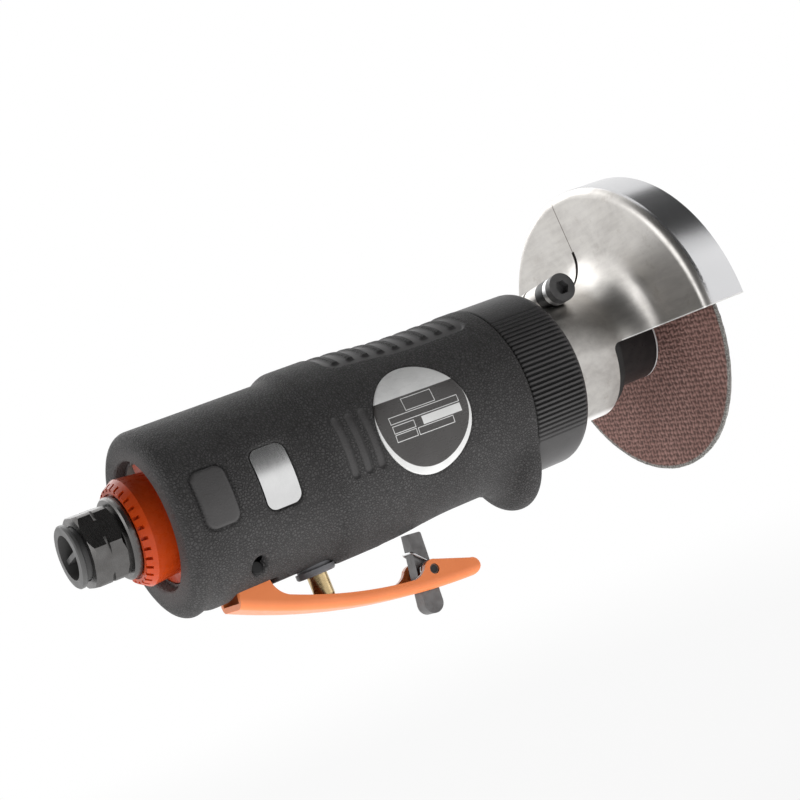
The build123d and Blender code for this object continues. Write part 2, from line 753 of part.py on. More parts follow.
with BuildPart() as throttle_lever:
    with BuildSketch(Plane.XZ):
        with BuildLine():
            ThreePointArc(web_rear, web_mid, web_end)
            Polyline(web_end, (web_end_x, lever_top_z), (web_rear[0], lever_top_z), web_rear)
        make_face()
    extrude(amount=lever_half, both=True)
    fillet(throttle_lever.edges().filter_by(GeomType.CIRCLE), lever_bend)
    with BuildSketch(Plane.XZ):
        with BuildLine():
            Polyline(web_rear, (web_rear[0], under_z), (web_toe[0], under_z), web_toe)
            ThreePointArc(web_toe, nose, toe_top)
            Line(toe_top, ear_front)
            ThreePointArc(ear_front, ear_crown, ear_rear)
            ThreePointArc(ear_rear, ear_hollow, ear_foot)
            ThreePointArc(ear_foot, mid_top, neck_foot)
            ThreePointArc(neck_foot, neck_hollow, hump_front)
            Line(hump_front, eye_front)
            ThreePointArc(eye_front, (hinge_x, hinge_z + hinge_eye_r), eye_rear)
            Line(eye_rear, web_rear)
        make_face()
    extrude(amount=lever_half, both=True, mode=Mode.INTERSECT)
    inner_rear, inner_mid, inner_toe = lever_web_point(lever_sheet)
    inner_back = inner_rear[0] - 2 * hinge_eye_r
    with BuildSketch(Plane.XZ):
        with BuildLine():
            ThreePointArc(inner_rear, inner_mid, inner_toe)
            Polyline(inner_toe, (web_end_x, inner_toe[1]), (web_end_x, 0), (inner_back, 0),
                     (inner_back, inner_rear[1] + lever_sheet), inner_rear)
        make_face()
    extrude(amount=lever_inner_half, both=True, mode=Mode.SUBTRACT)
    slot_rear_x = latch_x - latch_tab_width - latch_slot_gap
    with BuildSketch(Plane.XY.offset(lever_toe_z - lever_bend)):
        with Locations((slot_rear_x, 0)):
            Rectangle(2 * lever_toe_overhang + latch_tab_width, latch_thickness + 2 * latch_slot_gap,
                      align=(Align.MIN, Align.CENTER))
    extrude(amount=3 * lever_bend, mode=Mode.SUBTRACT)
    with BuildSketch(Plane.XZ):
        with Locations((hinge_x, hinge_z)):
            Circle(hinge_pin_r + running_gap)
        with Locations((latch_x, latch_z)):
            Circle(latch_pin_r + seat_gap / 2)
    extrude(amount=lever_width, both=True, mode=Mode.SUBTRACT)

# Latch pin across the lever's ears
with BuildPart() as latch_pin:
    with BuildSketch(Plane.XZ):
        with Locations((latch_x, latch_z)):
            Circle(latch_pin_r)
    extrude(amount=lever_half - free_gap, both=True)

# Lock-off latch: a tapered bar that stops under the grip until its tab is pushed
lean_x, lean_z = cos(radians(latch_lean)), sin(radians(latch_lean))
latch_plane = Plane(origin=(latch_x, 0, latch_z), x_dir=(lean_x, 0, -lean_z), z_dir=(0, -1, 0))
tab_end = latch_tab_width / 2 - latch_reach_down
tip_corners = [(latch_shift + side * latch_arm_width / 2, latch_reach_up) for side in (-1, 1)]
tab_corners = [(latch_shift + side * latch_tab_width / 2, tab_end) for side in (-1, 1)]
with BuildPart() as lock_off_latch:
    with BuildSketch(latch_plane) as latch_outline:
        with BuildLine():
            Polyline(tab_corners[0], tip_corners[0], tip_corners[1], tab_corners[1])
            ThreePointArc(tab_corners[1], (latch_shift, -latch_reach_down), tab_corners[0])
        make_face()
        fillet(latch_outline.vertices().sort_by(Axis.Z)[-2:], latch_tip_corner)
        Circle(latch_hub_r)
        Circle(latch_pin_r + running_gap, mode=Mode.SUBTRACT)
    extrude(amount=latch_thickness / 2, both=True)

# Latch spring: hook round the rear edge of the latch arm, coil round the pin, foot over the lever's web
hook_share = (latch_reach_up - spring_hook_rise) / (latch_reach_up - tab_end)
hook_edge = tip_corners[0][0] + hook_share * (tab_corners[0][0] - tip_corners[0][0])
hook_side = latch_thickness / 2 + spring_side_gap + spring_wire_r
hook = latch_plane.from_local_coords(
    Vector(hook_edge - spring_hook_gap - spring_wire_r, spring_hook_rise, hook_side))
hook_x, hook_z = hook.X - latch_x, hook.Z - latch_z
coil_near_y = -hook_side
coil_far_y = spring_side_gap + spring_wire_r - lever_inner_half
coil_start = degrees(atan2(hook_z, hook_x) - acos(spring_coil_r / hypot(hook_x, hook_z)))
coil_sweep = coil_start - spring_foot_angle + 360 * spring_extra_turns
coil_spans = int(coil_sweep // 180) + 1
coil_slope = (coil_far_y - coil_near_y) / (spring_coil_r * radians(coil_sweep))


def coil_point(span):
    """Point on the spring coil after a number of spans from the hook side."""
    angle = radians(coil_start - coil_sweep * span / coil_spans)
    side = coil_near_y + (coil_far_y - coil_near_y) * span / coil_spans
    return Vector(latch_x + spring_coil_r * cos(angle), side, latch_z + spring_coil_r * sin(angle))


def coil_direction(span):
    """Direction of the wire there, level where a straight leg begins."""
    angle = radians(coil_start - coil_sweep * span / coil_spans)
    slope = coil_slope if 0 < span < coil_spans else 0
    return Vector(sin(angle), slope, -cos(angle)).normalized()


across = Vector(0, 1, 0)
leg = (coil_point(0) - hook).normalized()
far_hook = hook + across * 2 * hook_side
far_tip = far_hook + leg * spring_tip_length
foot_tip = coil_point(coil_spans) + coil_direction(coil_spans) * spring_foot_length
with BuildPart() as latch_spring:
    with BuildLine() as spring_path:
        Line(far_tip, far_hook + leg * spring_hook_bend)
        TangentArc(far_hook + leg * spring_hook_bend, far_hook - across * spring_hook_bend, tangent=leg * -1)
        Line(far_hook - across * spring_hook_bend, hook + across * spring_hook_bend)
        TangentArc(hook + across * spring_hook_bend, hook + leg * spring_hook_bend, tangent=across * -1)
        Line(hook + leg * spring_hook_bend, coil_point(0))
        for span in range(coil_spans):
            biarc(coil_point(span), coil_direction(span), coil_point(span + 1), coil_direction(span + 1))
        Line(coil_point(coil_spans), foot_tip)
    with BuildSketch(Plane(origin=far_tip, z_dir=leg * -1)):
        Circle(spring_wire_r)
    sweep(path=spring_path.wires()[0])

spring_wire = spring_path.wires()[0]
spring_samples = 400
spring_points = [spring_wire.position_at(i / spring_samples) for i in range(spring_samples + 1)]
spring_skip = int(4 * spring_coil_r / spring_wire.length * spring_samples)
spring_gap = min(
    (spring_points[i] - spring_points[j]).length
    for i in range(spring_samples + 1)
    for j in range(i + spring_skip, spring_samples + 1)
) - 2 * spring_wire_r
print(f"latch spring: least gap between turns {spring_gap:.2f} mm")

# Throttle valve: bushing, seal, stem with its poppet, spring and cap
stem_bore_r = stem_r + running_gap
with BuildPart() as valve_bushing:
    with BuildSketch(Plane.XY.offset(bush_flange_z)):
        with Locations((valve_x, 0)):
            Circle(bush_flange_r)
    extrude(amount=bush_flange_thickness)
    chamfer(valve_bushing.edges().filter_by(GeomType.CIRCLE).sort_by(Axis.Z)[0], bush_flange_thickness / 4)
    with BuildSketch(Plane.XY.offset(bush_flange_z + bush_flange_thickness)):
        with Locations((valve_x, 0)):
            Circle(bush_barrel_r)
    extrude(amount=-housing_r - seat_gap - bush_flange_z - bush_flange_thickness)
    with BuildSketch(Plane.XY.offset(-housing_r - seat_gap)):
        with Locations((valve_x, 0)):
            Circle(valve_bore_r - seat_gap)
    extrude(amount=housing_r + valve_throat_z)
    with BuildSketch(Plane.XY.offset(bush_flange_z)):
        with Locations((valve_x, 0)):
            Circle(stem_bore_r)
    extrude(amount=valve_throat_z - bush_flange_z, mode=Mode.SUBTRACT)
    with BuildSketch(Plane.XY.offset(stem_seal_z)):
        with Locations((valve_x, 0)):
            Circle(stem_bore_r + stem_seal_depth)
    extrude(amount=stem_seal_width + 2 * seat_gap, mode=Mode.SUBTRACT)

with BuildPart() as stem_seal:
    with BuildSketch(Plane.XY.offset(stem_seal_z + seat_gap)):
        with Locations((valve_x, 0)):
            Circle(stem_bore_r + stem_seal_depth - seat_gap)
            Circle(stem_bore_r, mode=Mode.SUBTRACT)
    extrude(amount=stem_seal_width)

stem_end_z = web_height(valve_x - stem_r + stem_end_round) + stem_end_gap
poppet_z = valve_seat_z + seat_gap
with BuildPart() as valve_stem:
    with BuildSketch(Plane.XY.offset(stem_end_z)):
        with Locations((valve_x, 0)):
            Circle(stem_r)
    extrude(amount=stem_shoulder_z - stem_end_z)
    fillet(valve_stem.edges().filter_by(GeomType.CIRCLE).sort_by(Axis.Z)[0], stem_end_round)
    with BuildSketch(Plane.XY.offset(stem_shoulder_z)):
        with Locations((valve_x, 0)):
            Circle(stem_neck_r)
    extrude(amount=poppet_z - stem_shoulder_z)
    with BuildSketch(Plane.XY.offset(poppet_z)):
        with Locations((valve_x, 0)):
            Circle(poppet_r)
    extrude(amount=poppet_thickness)

valve_cap_z = sqrt(housing_r ** 2 - valve_bore_r ** 2) - valve_cap_length
with BuildPart() as valve_cap:
    with BuildSketch(Plane.XY.offset(valve_cap_z)):
        with Locations((valve_x, 0)):
            Circle(valve_bore_r - seat_gap)
    extrude(amount=valve_cap_length)

with BuildPart() as valve_spring:
    with BuildSketch(Plane.XY.offset(poppet_z + poppet_thickness + seat_gap)):
        with Locations((valve_x, 0)):
            Circle(valve_spring_r)
            Circle(valve_spring_r - valve_spring_wall, mode=Mode.SUBTRACT)
    extrude(amount=valve_cap_z - poppet_z - poppet_thickness - 2 * seat_gap)

# Vane motor: end plates with their bearings, eccentric cylinder, slotted rotor and vanes
rear_bearing_x = motor_rear_x + seat_gap
with BuildPart() as rear_plate:
    with BuildSketch(Plane.YZ.offset(motor_rear_x + seat_gap)):
        Circle(motor_bore_r - seat_gap)
    extrude(amount=rear_plate_length - seat_gap)
    with BuildSketch(Plane.YZ.offset(motor_rear_x)):
        Circle(rear_bearing_r + seat_gap)
    extrude(amount=rear_bearing_length + 2 * seat_gap, mode=Mode.SUBTRACT)
    with BuildSketch(Plane.YZ.offset(motor_rear_x)):
        Circle(rear_shaft_r + free_gap)
    extrude(amount=rear_plate_length, mode=Mode.SUBTRACT)

with BuildPart() as rear_bearing:
    with BuildSketch(Plane.YZ.offset(rear_bearing_x)):
        Circle(rear_bearing_r)
        Circle(rear_shaft_r + running_gap, mode=Mode.SUBTRACT)
    extrude(amount=rear_bearing_length)

with BuildPart() as motor_cylinder:
    with BuildSketch(Plane.YZ.offset(cylinder_x)):
        Circle(motor_bore_r - seat_gap)
        with Locations((0, -cylinder_offset)):
            Circle(cylinder_bore_r, mode=Mode.SUBTRACT)
    extrude(amount=cylinder_length)

front_bearing_x = motor_front_x - front_bearing_length
with BuildPart() as front_plate:
    with BuildSketch(Plane.YZ.offset(front_plate_x)):
        Circle(motor_bore_r - seat_gap)
    extrude(amount=front_plate_length)
    with BuildSketch(Plane.YZ.offset(front_bearing_x - seat_gap)):
        Circle(front_bearing_r + seat_gap)
    extrude(amount=front_bearing_length + seat_gap, mode=Mode.SUBTRACT)
    with BuildSketch(Plane.YZ.offset(front_plate_x)):
        Circle(front_shaft_r + free_gap)
    extrude(amount=front_plate_length, mode=Mode.SUBTRACT)

with BuildPart() as front_bearing:
    with BuildSketch(Plane.YZ.offset(front_bearing_x)):
        Circle(front_bearing_r)
        Circle(front_shaft_r + running_gap, mode=Mode.SUBTRACT)
    extrude(amount=front_bearing_length - seat_gap)

rotor_x = cylinder_x + rotor_end_gap
rotor_length = cylinder_length - 2 * rotor_end_gap
drive_shaft_x = motor_front_x + free_gap
slot_floor_r = rotor_r - vane_height - 2 * vane_tip_gap
with BuildPart() as rotor:
    with BuildSketch(Plane.XZ):
        with BuildLine():
            Polyline(
                (rear_bearing_x + free_gap, 0),
                (rear_bearing_x + free_gap, rear_shaft_r),
                (rotor_x, rear_shaft_r),
                (rotor_x, rotor_r),
                (rotor_x + rotor_length, rotor_r),
                (rotor_x + rotor_length, front_shaft_r),
                (drive_shaft_x, front_shaft_r),
                (drive_shaft_x, drive_shaft_r),
                (drive_shaft_x + drive_shaft_length, drive_shaft_r),
                (drive_shaft_x + drive_shaft_length, 0),
                close=True,
            )
        make_face()
    revolve(axis=Axis.X)
    with BuildSketch(Plane.YZ.offset(rotor_x)):
        with PolarLocations(slot_floor_r, vane_count):
            Rectangle(rotor_r, vane_thickness + 2 * vane_gap, align=(Align.MIN, Align.CENTER))
    extrude(amount=rotor_length, mode=Mode.SUBTRACT)

with BuildPart() as rotor_vanes:
    with BuildSketch(Plane.YZ.offset(rotor_x)):
        with PolarLocations(slot_floor_r + vane_tip_gap, vane_count):
            Rectangle(vane_height, vane_thickness, align=(Align.MIN, Align.CENTER))
    extrude(amount=rotor_length)

# Front collar: ring on the grip's axis that clamps the nose to it, fluted on both flanks
nose_r = guard_neck_r - guard_sheet - running_gap
collar_edge_x = collar_front_x - collar_front_edge
with BuildPart() as front_collar:
    with BuildSketch(Plane(origin=(0, 0, -grip_drop), x_dir=(1, 0, 0), z_dir=(0, -1, 0))):
        with BuildLine():
            Polyline((collar_front_x, collar_r - collar_front_edge), (collar_front_x, 0), (collar_x, 0),
                     (collar_x, collar_r), (collar_edge_x, collar_r))
            TangentArc((collar_edge_x, collar_r), (collar_front_x, collar_r - collar_front_edge),
                       tangent=(1, 0))
        make_face()
    revolve(axis=Axis((0, 0, -grip_drop), (1, 0, 0)))
    with BuildSketch(Plane.YZ.offset(collar_x)):
        with Locations((0, -grip_drop)):
            for flute in range(flute_count):
                place = flute - (flute_count - 1) / 2
                fade = 1 - flute_fade * (2 * place / (flute_count - 1)) ** 2
                with PolarLocations(collar_r, 2, start_angle=place * flute_pitch):
                    RegularPolygon(flute_depth * fade, 4)
    extrude(amount=collar_length - collar_front_edge - free_gap, mode=Mode.SUBTRACT)
    with BuildSketch(Plane.YZ.offset(collar_x)):
        Circle(nose_flange_r + seat_gap)
    extrude(amount=collar_length - collar_lip, mode=Mode.SUBTRACT)
    with BuildSketch(Plane.YZ.offset(collar_x)):
        Circle(nose_r + seat_gap)
    extrude(amount=collar_length, mode=Mode.SUBTRACT)

# Nose: flange inside the collar, spigot for the guard, bearing pocket at the front
circlip_x = nose_front_x - 2 * circlip_thickness
spindle_bearing_x = circlip_x - spindle_bearing_length - seat_gap
with BuildPart() as nose_housing:
    with BuildSketch(Plane.XZ):
        with BuildLine():
            Polyline(
                (motor_front_x + seat_gap, nose_bore_r),
                (motor_front_x + seat_gap, motor_bore_r - seat_gap),
                (collar_x, motor_bore_r - seat_gap),
                (collar_x, nose_flange_r),
                (nose_shoulder_x, nose_flange_r),
                (nose_shoulder_x, nose_r),
                (nose_front_x, nose_r),
                (nose_front_x, spindle_bearing_r + seat_gap),
                (circlip_x + circlip_thickness + seat_gap, spindle_bearing_r + seat_gap),
                (circlip_x + circlip_thickness + seat_gap, spindle_bearing_r + circlip_width / 4),
                (circlip_x - seat_gap, spindle_bearing_r + circlip_width / 4),
                (circlip_x - seat_gap, spindle_bearing_r + seat_gap),
                (spindle_bearing_x - seat_gap, spindle_bearing_r + seat_gap),
                (spindle_bearing_x - seat_gap, nose_bore_r),
                close=True,
            )
        make_face()
    revolve(axis=Axis.X)

with BuildPart() as nose_bearing:
    with BuildSketch(Plane.YZ.offset(spindle_bearing_x)):
        Circle(spindle_bearing_r)
        Circle(spindle_r + running_gap, mode=Mode.SUBTRACT)
    extrude(amount=spindle_bearing_length)

with BuildPart() as bearing_circlip:
    with BuildSketch(Plane.YZ.offset(circlip_x)):
        Circle(spindle_bearing_r + circlip_width / 4 - seat_gap)
        Circle(spindle_bearing_r - circlip_width, mode=Mode.SUBTRACT)
    extrude(amount=circlip_thickness)

# Spindle: socket on the rotor's drive shaft, journal in the nose bearing, nose for the flanges
inner_flange_x = disc_x - inner_flange_length
spindle_x = drive_shaft_x + drive_shaft_length - spindle_socket_length
spindle_front_x = disc_x + disc_thickness / 2
with BuildPart() as spindle:
    with BuildSketch(Plane.XZ):
        with BuildLine():
            Polyline(
                (spindle_x, drive_shaft_r + seat_gap),
                (spindle_x, spindle_socket_r),
                (spindle_x + spindle_socket_length + spindle_r, spindle_socket_r),
                (spindle_x + spindle_socket_length + spindle_r, spindle_r),
                (inner_flange_x, spindle_r),
                (inner_flange_x, spindle_nose_r),
                (spindle_front_x, spindle_nose_r),
                (spindle_front_x, disc_screw_r + seat_gap),
                (disc_front_x - disc_screw_length, disc_screw_r + seat_gap),
                (disc_front_x - disc_screw_length, 0),
                (spindle_x + spindle_socket_length + seat_gap, 0),
                (spindle_x + spindle_socket_length + seat_gap, drive_shaft_r + seat_gap),
                close=True,
            )
        make_face()
    revolve(axis=Axis.X)

# Inner flange: driven sleeve with the seat and pilot of the disc
with BuildPart() as inner_flange:
    with BuildSketch(Plane.XZ):
        with BuildLine():
            Polyline(
                (inner_flange_x + seat_gap, spindle_nose_r + seat_gap),
                (inner_flange_x + seat_gap, inner_flange_r - inner_flange_edge),
                (inner_flange_x + seat_gap + inner_flange_edge, inner_flange_r),
                (disc_x - inner_flange_edge / 2, inner_flange_r),
                (disc_x, inner_flange_r - inner_flange_edge / 2),
                (disc_x, disc_bore_r - seat_gap),
                (disc_x + disc_thickness - free_gap, disc_bore_r - seat_gap),
                (disc_x + disc_thickness - free_gap, spindle_nose_r + seat_gap),
                close=True,
            )
        make_face()
    revolve(axis=Axis.X)

with BuildPart() as cutting_disc:
    with BuildSketch(Plane.YZ.offset(disc_x + seat_gap)):
        Circle(disc_r)
        Circle(disc_bore_r, mode=Mode.SUBTRACT)
    extrude(amount=disc_thickness - seat_gap)

with BuildPart() as outer_flange:
    with BuildSketch(Plane.YZ.offset(disc_front_x + seat_gap)):
        Circle(outer_flange_r)
        Circle(disc_screw_r + seat_gap, mode=Mode.SUBTRACT)
    extrude(amount=outer_flange_thickness)
    chamfer(outer_flange.edges().filter_by(GeomType.CIRCLE).sort_by(Axis.X)[-1], outer_flange_thickness / 4)

# Arbor screw through the outer flange into the spindle
screw_seat_x = disc_front_x + outer_flange_thickness + 2 * seat_gap
with BuildPart() as arbor_screw:
    with BuildSketch(Plane.YZ.offset(screw_seat_x)):
        Circle(disc_screw_head_r)
    extrude(amount=disc_screw_head_length)
    chamfer(arbor_screw.edges().filter_by(GeomType.CIRCLE).sort_by(Axis.X)[-1], disc_screw_head_length / 8)
    with BuildSketch(Plane.YZ.offset(screw_seat_x)):
        Circle(disc_screw_r)
    extrude(amount=free_gap - disc_screw_length - outer_flange_thickness)
    with BuildSketch(Plane.YZ.offset(screw_seat_x + disc_screw_head_length)):
        RegularPolygon(disc_screw_socket / 2, 6, major_radius=False)
    extrude(amount=-disc_screw_socket_depth, mode=Mode.SUBTRACT)

# Wheel guard: pressed half drum on a split neck with two clamp lugs
guard_inner_neck_r = guard_neck_r - guard_sheet
flare_x = guard_back_x - guard_flare_r
flare_r = guard_neck_r + guard_flare_r
slit_half = guard_slit_width / 2
clamp_out = Vector(0, cos(radians(guard_slit_angle)), sin(radians(guard_slit_angle)))
clamp_along = (0, cos(radians(guard_slit_angle + 90)), sin(radians(guard_slit_angle + 90)))
clamp_centre = Vector(clamp_x, 0, 0) + clamp_out * clamp_axis_r
clamp_plane = Plane(origin=clamp_centre, x_dir=(1, 0, 0), z_dir=clamp_along)
with BuildPart() as wheel_guard:
    with BuildSketch(Plane.XZ):
        with BuildLine():
            inner_edge_r = guard_edge_r - guard_sheet
            back_in_x = guard_back_x + guard_sheet
            rim_r = guard_r - guard_sheet
            Polyline((flare_x, guard_inner_neck_r), (guard_neck_x, guard_inner_neck_r),
                     (guard_neck_x, guard_neck_r), (flare_x, guard_neck_r))
            TangentArc((flare_x, guard_neck_r), (guard_back_x, flare_r), tangent=(1, 0))
            Line((guard_back_x, flare_r), (guard_back_x, guard_r - guard_edge_r))
            TangentArc((guard_back_x, guard_r - guard_edge_r), (guard_back_x + guard_edge_r, guard_r),
                       tangent=(0, 1))
            Polyline((guard_back_x + guard_edge_r, guard_r), (guard_front_x, guard_r), (guard_front_x, rim_r),
                     (guard_back_x + guard_edge_r, rim_r))
            TangentArc((guard_back_x + guard_edge_r, rim_r), (back_in_x, rim_r - inner_edge_r),
                       tangent=(-1, 0))
            Line((back_in_x, rim_r - inner_edge_r), (back_in_x, flare_r))
            TangentArc((back_in_x, flare_r), (flare_x, guard_inner_neck_r), tangent=(0, -1))
        make_face()
    revolve(axis=Axis.X)
    with BuildSketch(clamp_plane.offset(-slit_half - clamp_lug_length)):
        Circle(clamp_lug_r)
    extrude(amount=2 * (slit_half + clamp_lug_length))
    with BuildSketch(Plane.YZ.offset(guard_neck_x)):
        Circle(guard_inner_neck_r)
    extrude(amount=flare_x - guard_neck_x, mode=Mode.SUBTRACT)
    with BuildSketch(radial_plane(guard_mouth_angle + 90)):
        with BuildLine():
            Line((guard_mouth_x, -2 * guard_r), (guard_mouth_x, -guard_mouth_corner))
            TangentArc((guard_mouth_x, -guard_mouth_corner), (guard_mouth_x + guard_mouth_corner, 0),
                       tangent=(0, 1))
            Polyline((guard_mouth_x + guard_mouth_corner, 0), (guard_front_x + guard_r, 0),
                     (guard_front_x + guard_r, -2 * guard_r), (guard_mouth_x, -2 * guard_r))
        make_face()
    extrude(amount=2 * guard_r, both=True, mode=Mode.SUBTRACT)
    with BuildSketch(radial_plane(guard_slit_angle)):
        with BuildLine():
            Polyline(
                (guard_neck_x - guard_sheet, nose_r / 2),
                (guard_neck_x - guard_sheet, guard_slit_reach),
                (back_in_x + guard_sheet, guard_slit_reach),
                (back_in_x + guard_sheet, nose_r / 2),
                close=True,
            )
        make_face()
    extrude(amount=slit_half, both=True, mode=Mode.SUBTRACT)
    with BuildSketch(clamp_plane.offset(-guard_r)):
        Circle(clamp_screw_r + seat_gap)
    extrude(amount=2 * guard_r, mode=Mode.SUBTRACT)

# Saddle bush between the clamp screw's head and the near lug
bush_start = slit_half + clamp_lug_length + seat_gap
with BuildPart() as guard_bush:
    with BuildSketch(clamp_plane.offset(bush_start)):
        Circle(clamp_lug_r)
        Circle(clamp_screw_r + seat_gap, mode=Mode.SUBTRACT)
    extrude(amount=clamp_bush_length)
    with BuildSketch(Plane.YZ.offset(clamp_x - clamp_lug_r)):
        Circle(guard_neck_r + seat_gap)
    extrude(amount=2 * clamp_lug_r, mode=Mode.SUBTRACT)

clamp_head_seat = bush_start + clamp_bush_length + seat_gap
with BuildPart() as guard_screw:
    with BuildSketch(clamp_plane.offset(clamp_head_seat)):
        Circle(clamp_head_r)
    extrude(amount=clamp_head_length)
    with BuildSketch(clamp_plane.offset(clamp_head_seat)):
        Circle(clamp_screw_r)
    extrude(amount=-clamp_head_seat - slit_half - clamp_lug_length + free_gap)
    with BuildSketch(clamp_plane.offset(clamp_head_seat + clamp_head_length)):
        RegularPolygon(clamp_socket / 2, 6, major_radius=False)
    extrude(amount=-clamp_socket_depth, mode=Mode.SUBTRACT)

nodes = {
    "inlet_bushing": inlet_bushing,
    "thread_plug": thread_plug,
    "exhaust_deflector": exhaust_deflector,
    "muffler_ring": muffler_ring,
    "motor_housing": motor_housing,
    "grip_sleeve": grip_sleeve,
    "data_plate": data_plate,
    "lever_pin": lever_pin,
    "throttle_lever": throttle_lever,
    "latch_pin": latch_pin,
    "lock_off_latch": lock_off_latch,
    "latch_spring": latch_spring,
    "valve_bushing": valve_bushing,
    "stem_seal": stem_seal,
    "valve_stem": valve_stem,
    "valve_spring": valve_spring,
    "valve_cap": valve_cap,
    "rear_plate": rear_plate,
    "rear_bearing": rear_bearing,
    "motor_cylinder": motor_cylinder,
    "front_plate": front_plate,
    "front_bearing": front_bearing,
    "rotor": rotor,
    "rotor_vanes": rotor_vanes,
    "front_collar": front_collar,
    "nose_housing": nose_housing,
    "nose_bearing": nose_bearing,
    "bearing_circlip": bearing_circlip,
    "spindle": spindle,
    "inner_flange": inner_flange,
    "cutting_disc": cutting_disc,
    "outer_flange": outer_flange,
    "arbor_screw": arbor_screw,
    "wheel_guard": wheel_guard,
    "guard_bush": guard_bush,
    "guard_screw": guard_screw,
}
for label, node in nodes.items():
    node.part.label = label
    export_step(node.part, f"parts/{label}.step")
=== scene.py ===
"""Looks of a straight air cut-off tool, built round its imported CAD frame.

The classes of the tool hold the CAD sizes in millimetres, in the CAD frame, and the meshes are made in metres.
"""
import logging
import math
from dataclasses import dataclass
from enum import Enum
from functools import lru_cache, reduce
from typing import Optional, Sequence, Union

import bpy
import numpy as np
from mathutils import Matrix, Vector


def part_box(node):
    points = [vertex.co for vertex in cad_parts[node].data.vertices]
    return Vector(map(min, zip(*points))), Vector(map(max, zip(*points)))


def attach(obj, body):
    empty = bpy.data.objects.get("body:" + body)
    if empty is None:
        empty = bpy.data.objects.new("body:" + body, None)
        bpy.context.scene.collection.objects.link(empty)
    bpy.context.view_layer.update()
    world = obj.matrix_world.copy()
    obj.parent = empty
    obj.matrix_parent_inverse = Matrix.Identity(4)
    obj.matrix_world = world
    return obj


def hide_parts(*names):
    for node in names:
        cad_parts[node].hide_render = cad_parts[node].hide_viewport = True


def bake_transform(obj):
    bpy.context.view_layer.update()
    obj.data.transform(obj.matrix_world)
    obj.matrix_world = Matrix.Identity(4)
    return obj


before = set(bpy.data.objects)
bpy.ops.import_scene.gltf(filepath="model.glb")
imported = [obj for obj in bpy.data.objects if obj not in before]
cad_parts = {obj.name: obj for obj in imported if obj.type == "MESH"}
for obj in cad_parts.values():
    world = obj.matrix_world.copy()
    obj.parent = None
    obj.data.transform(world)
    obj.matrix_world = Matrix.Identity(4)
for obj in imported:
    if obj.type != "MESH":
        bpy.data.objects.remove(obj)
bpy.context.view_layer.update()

MM = 0.001
FAR_OFF = 9.0  # gap to an outline where the skin does not face it, in millimetres
ASIDE = (0.3, 0.5, 0.8)  # a direction that no wire here starts along
LOG = logging.getLogger("cut_off_tool")
Pair = tuple[float, float]
Triple = tuple[float, float, float]
Colour = Triple
Box = tuple[float, float, float, float]
Inputs = dict[Union[int, str], object]
Grid = np.ndarray


class Side(Enum):
    """The side of the grip that an outline is drawn on, by the way it faces: across and up."""

    NEAR = (-1, 0)
    FAR = (1, 0)
    UNDER = (0, -1)
    TOP = (0, 1)


class Calc(Enum):
    """Sums that the node trees use, by Blender's names."""

    ADD = "ADD"
    SUBTRACT = "SUBTRACT"
    MULTIPLY = "MULTIPLY"
    ABSOLUTE = "ABSOLUTE"
    MAXIMUM = "MAXIMUM"
    SQRT = "SQRT"


class Ramp(Enum):
    """Course of a step between two values, by Blender's names."""

    SMOOTH = "SMOOTHSTEP"
    STRAIGHT = "LINEAR"


@dataclass(frozen=True)
class Wire:
    """Output of a node in a tree. Plain arithmetic on wires adds math nodes."""

    graph: "Graph"
    socket: bpy.types.NodeSocket

    def __add__(self, other: "Value") -> "Wire":
        """Sum."""
        return self.graph.calc(Calc.ADD, self, other)

    def __sub__(self, other: "Value") -> "Wire":
        """Difference."""
        return self.graph.calc(Calc.SUBTRACT, self, other)

    def __rsub__(self, other: float) -> "Wire":
        """Difference from a number."""
        return self.graph.calc(Calc.SUBTRACT, other, self)

    def __mul__(self, other: "Value") -> "Wire":
        """Product."""
        return self.graph.calc(Calc.MULTIPLY, self, other)

    def __abs__(self) -> "Wire":
        """Size without the sign."""
        return self.graph.calc(Calc.ABSOLUTE, self)


Value = Union[float, Wire]
Paint = Union[Colour, Wire]


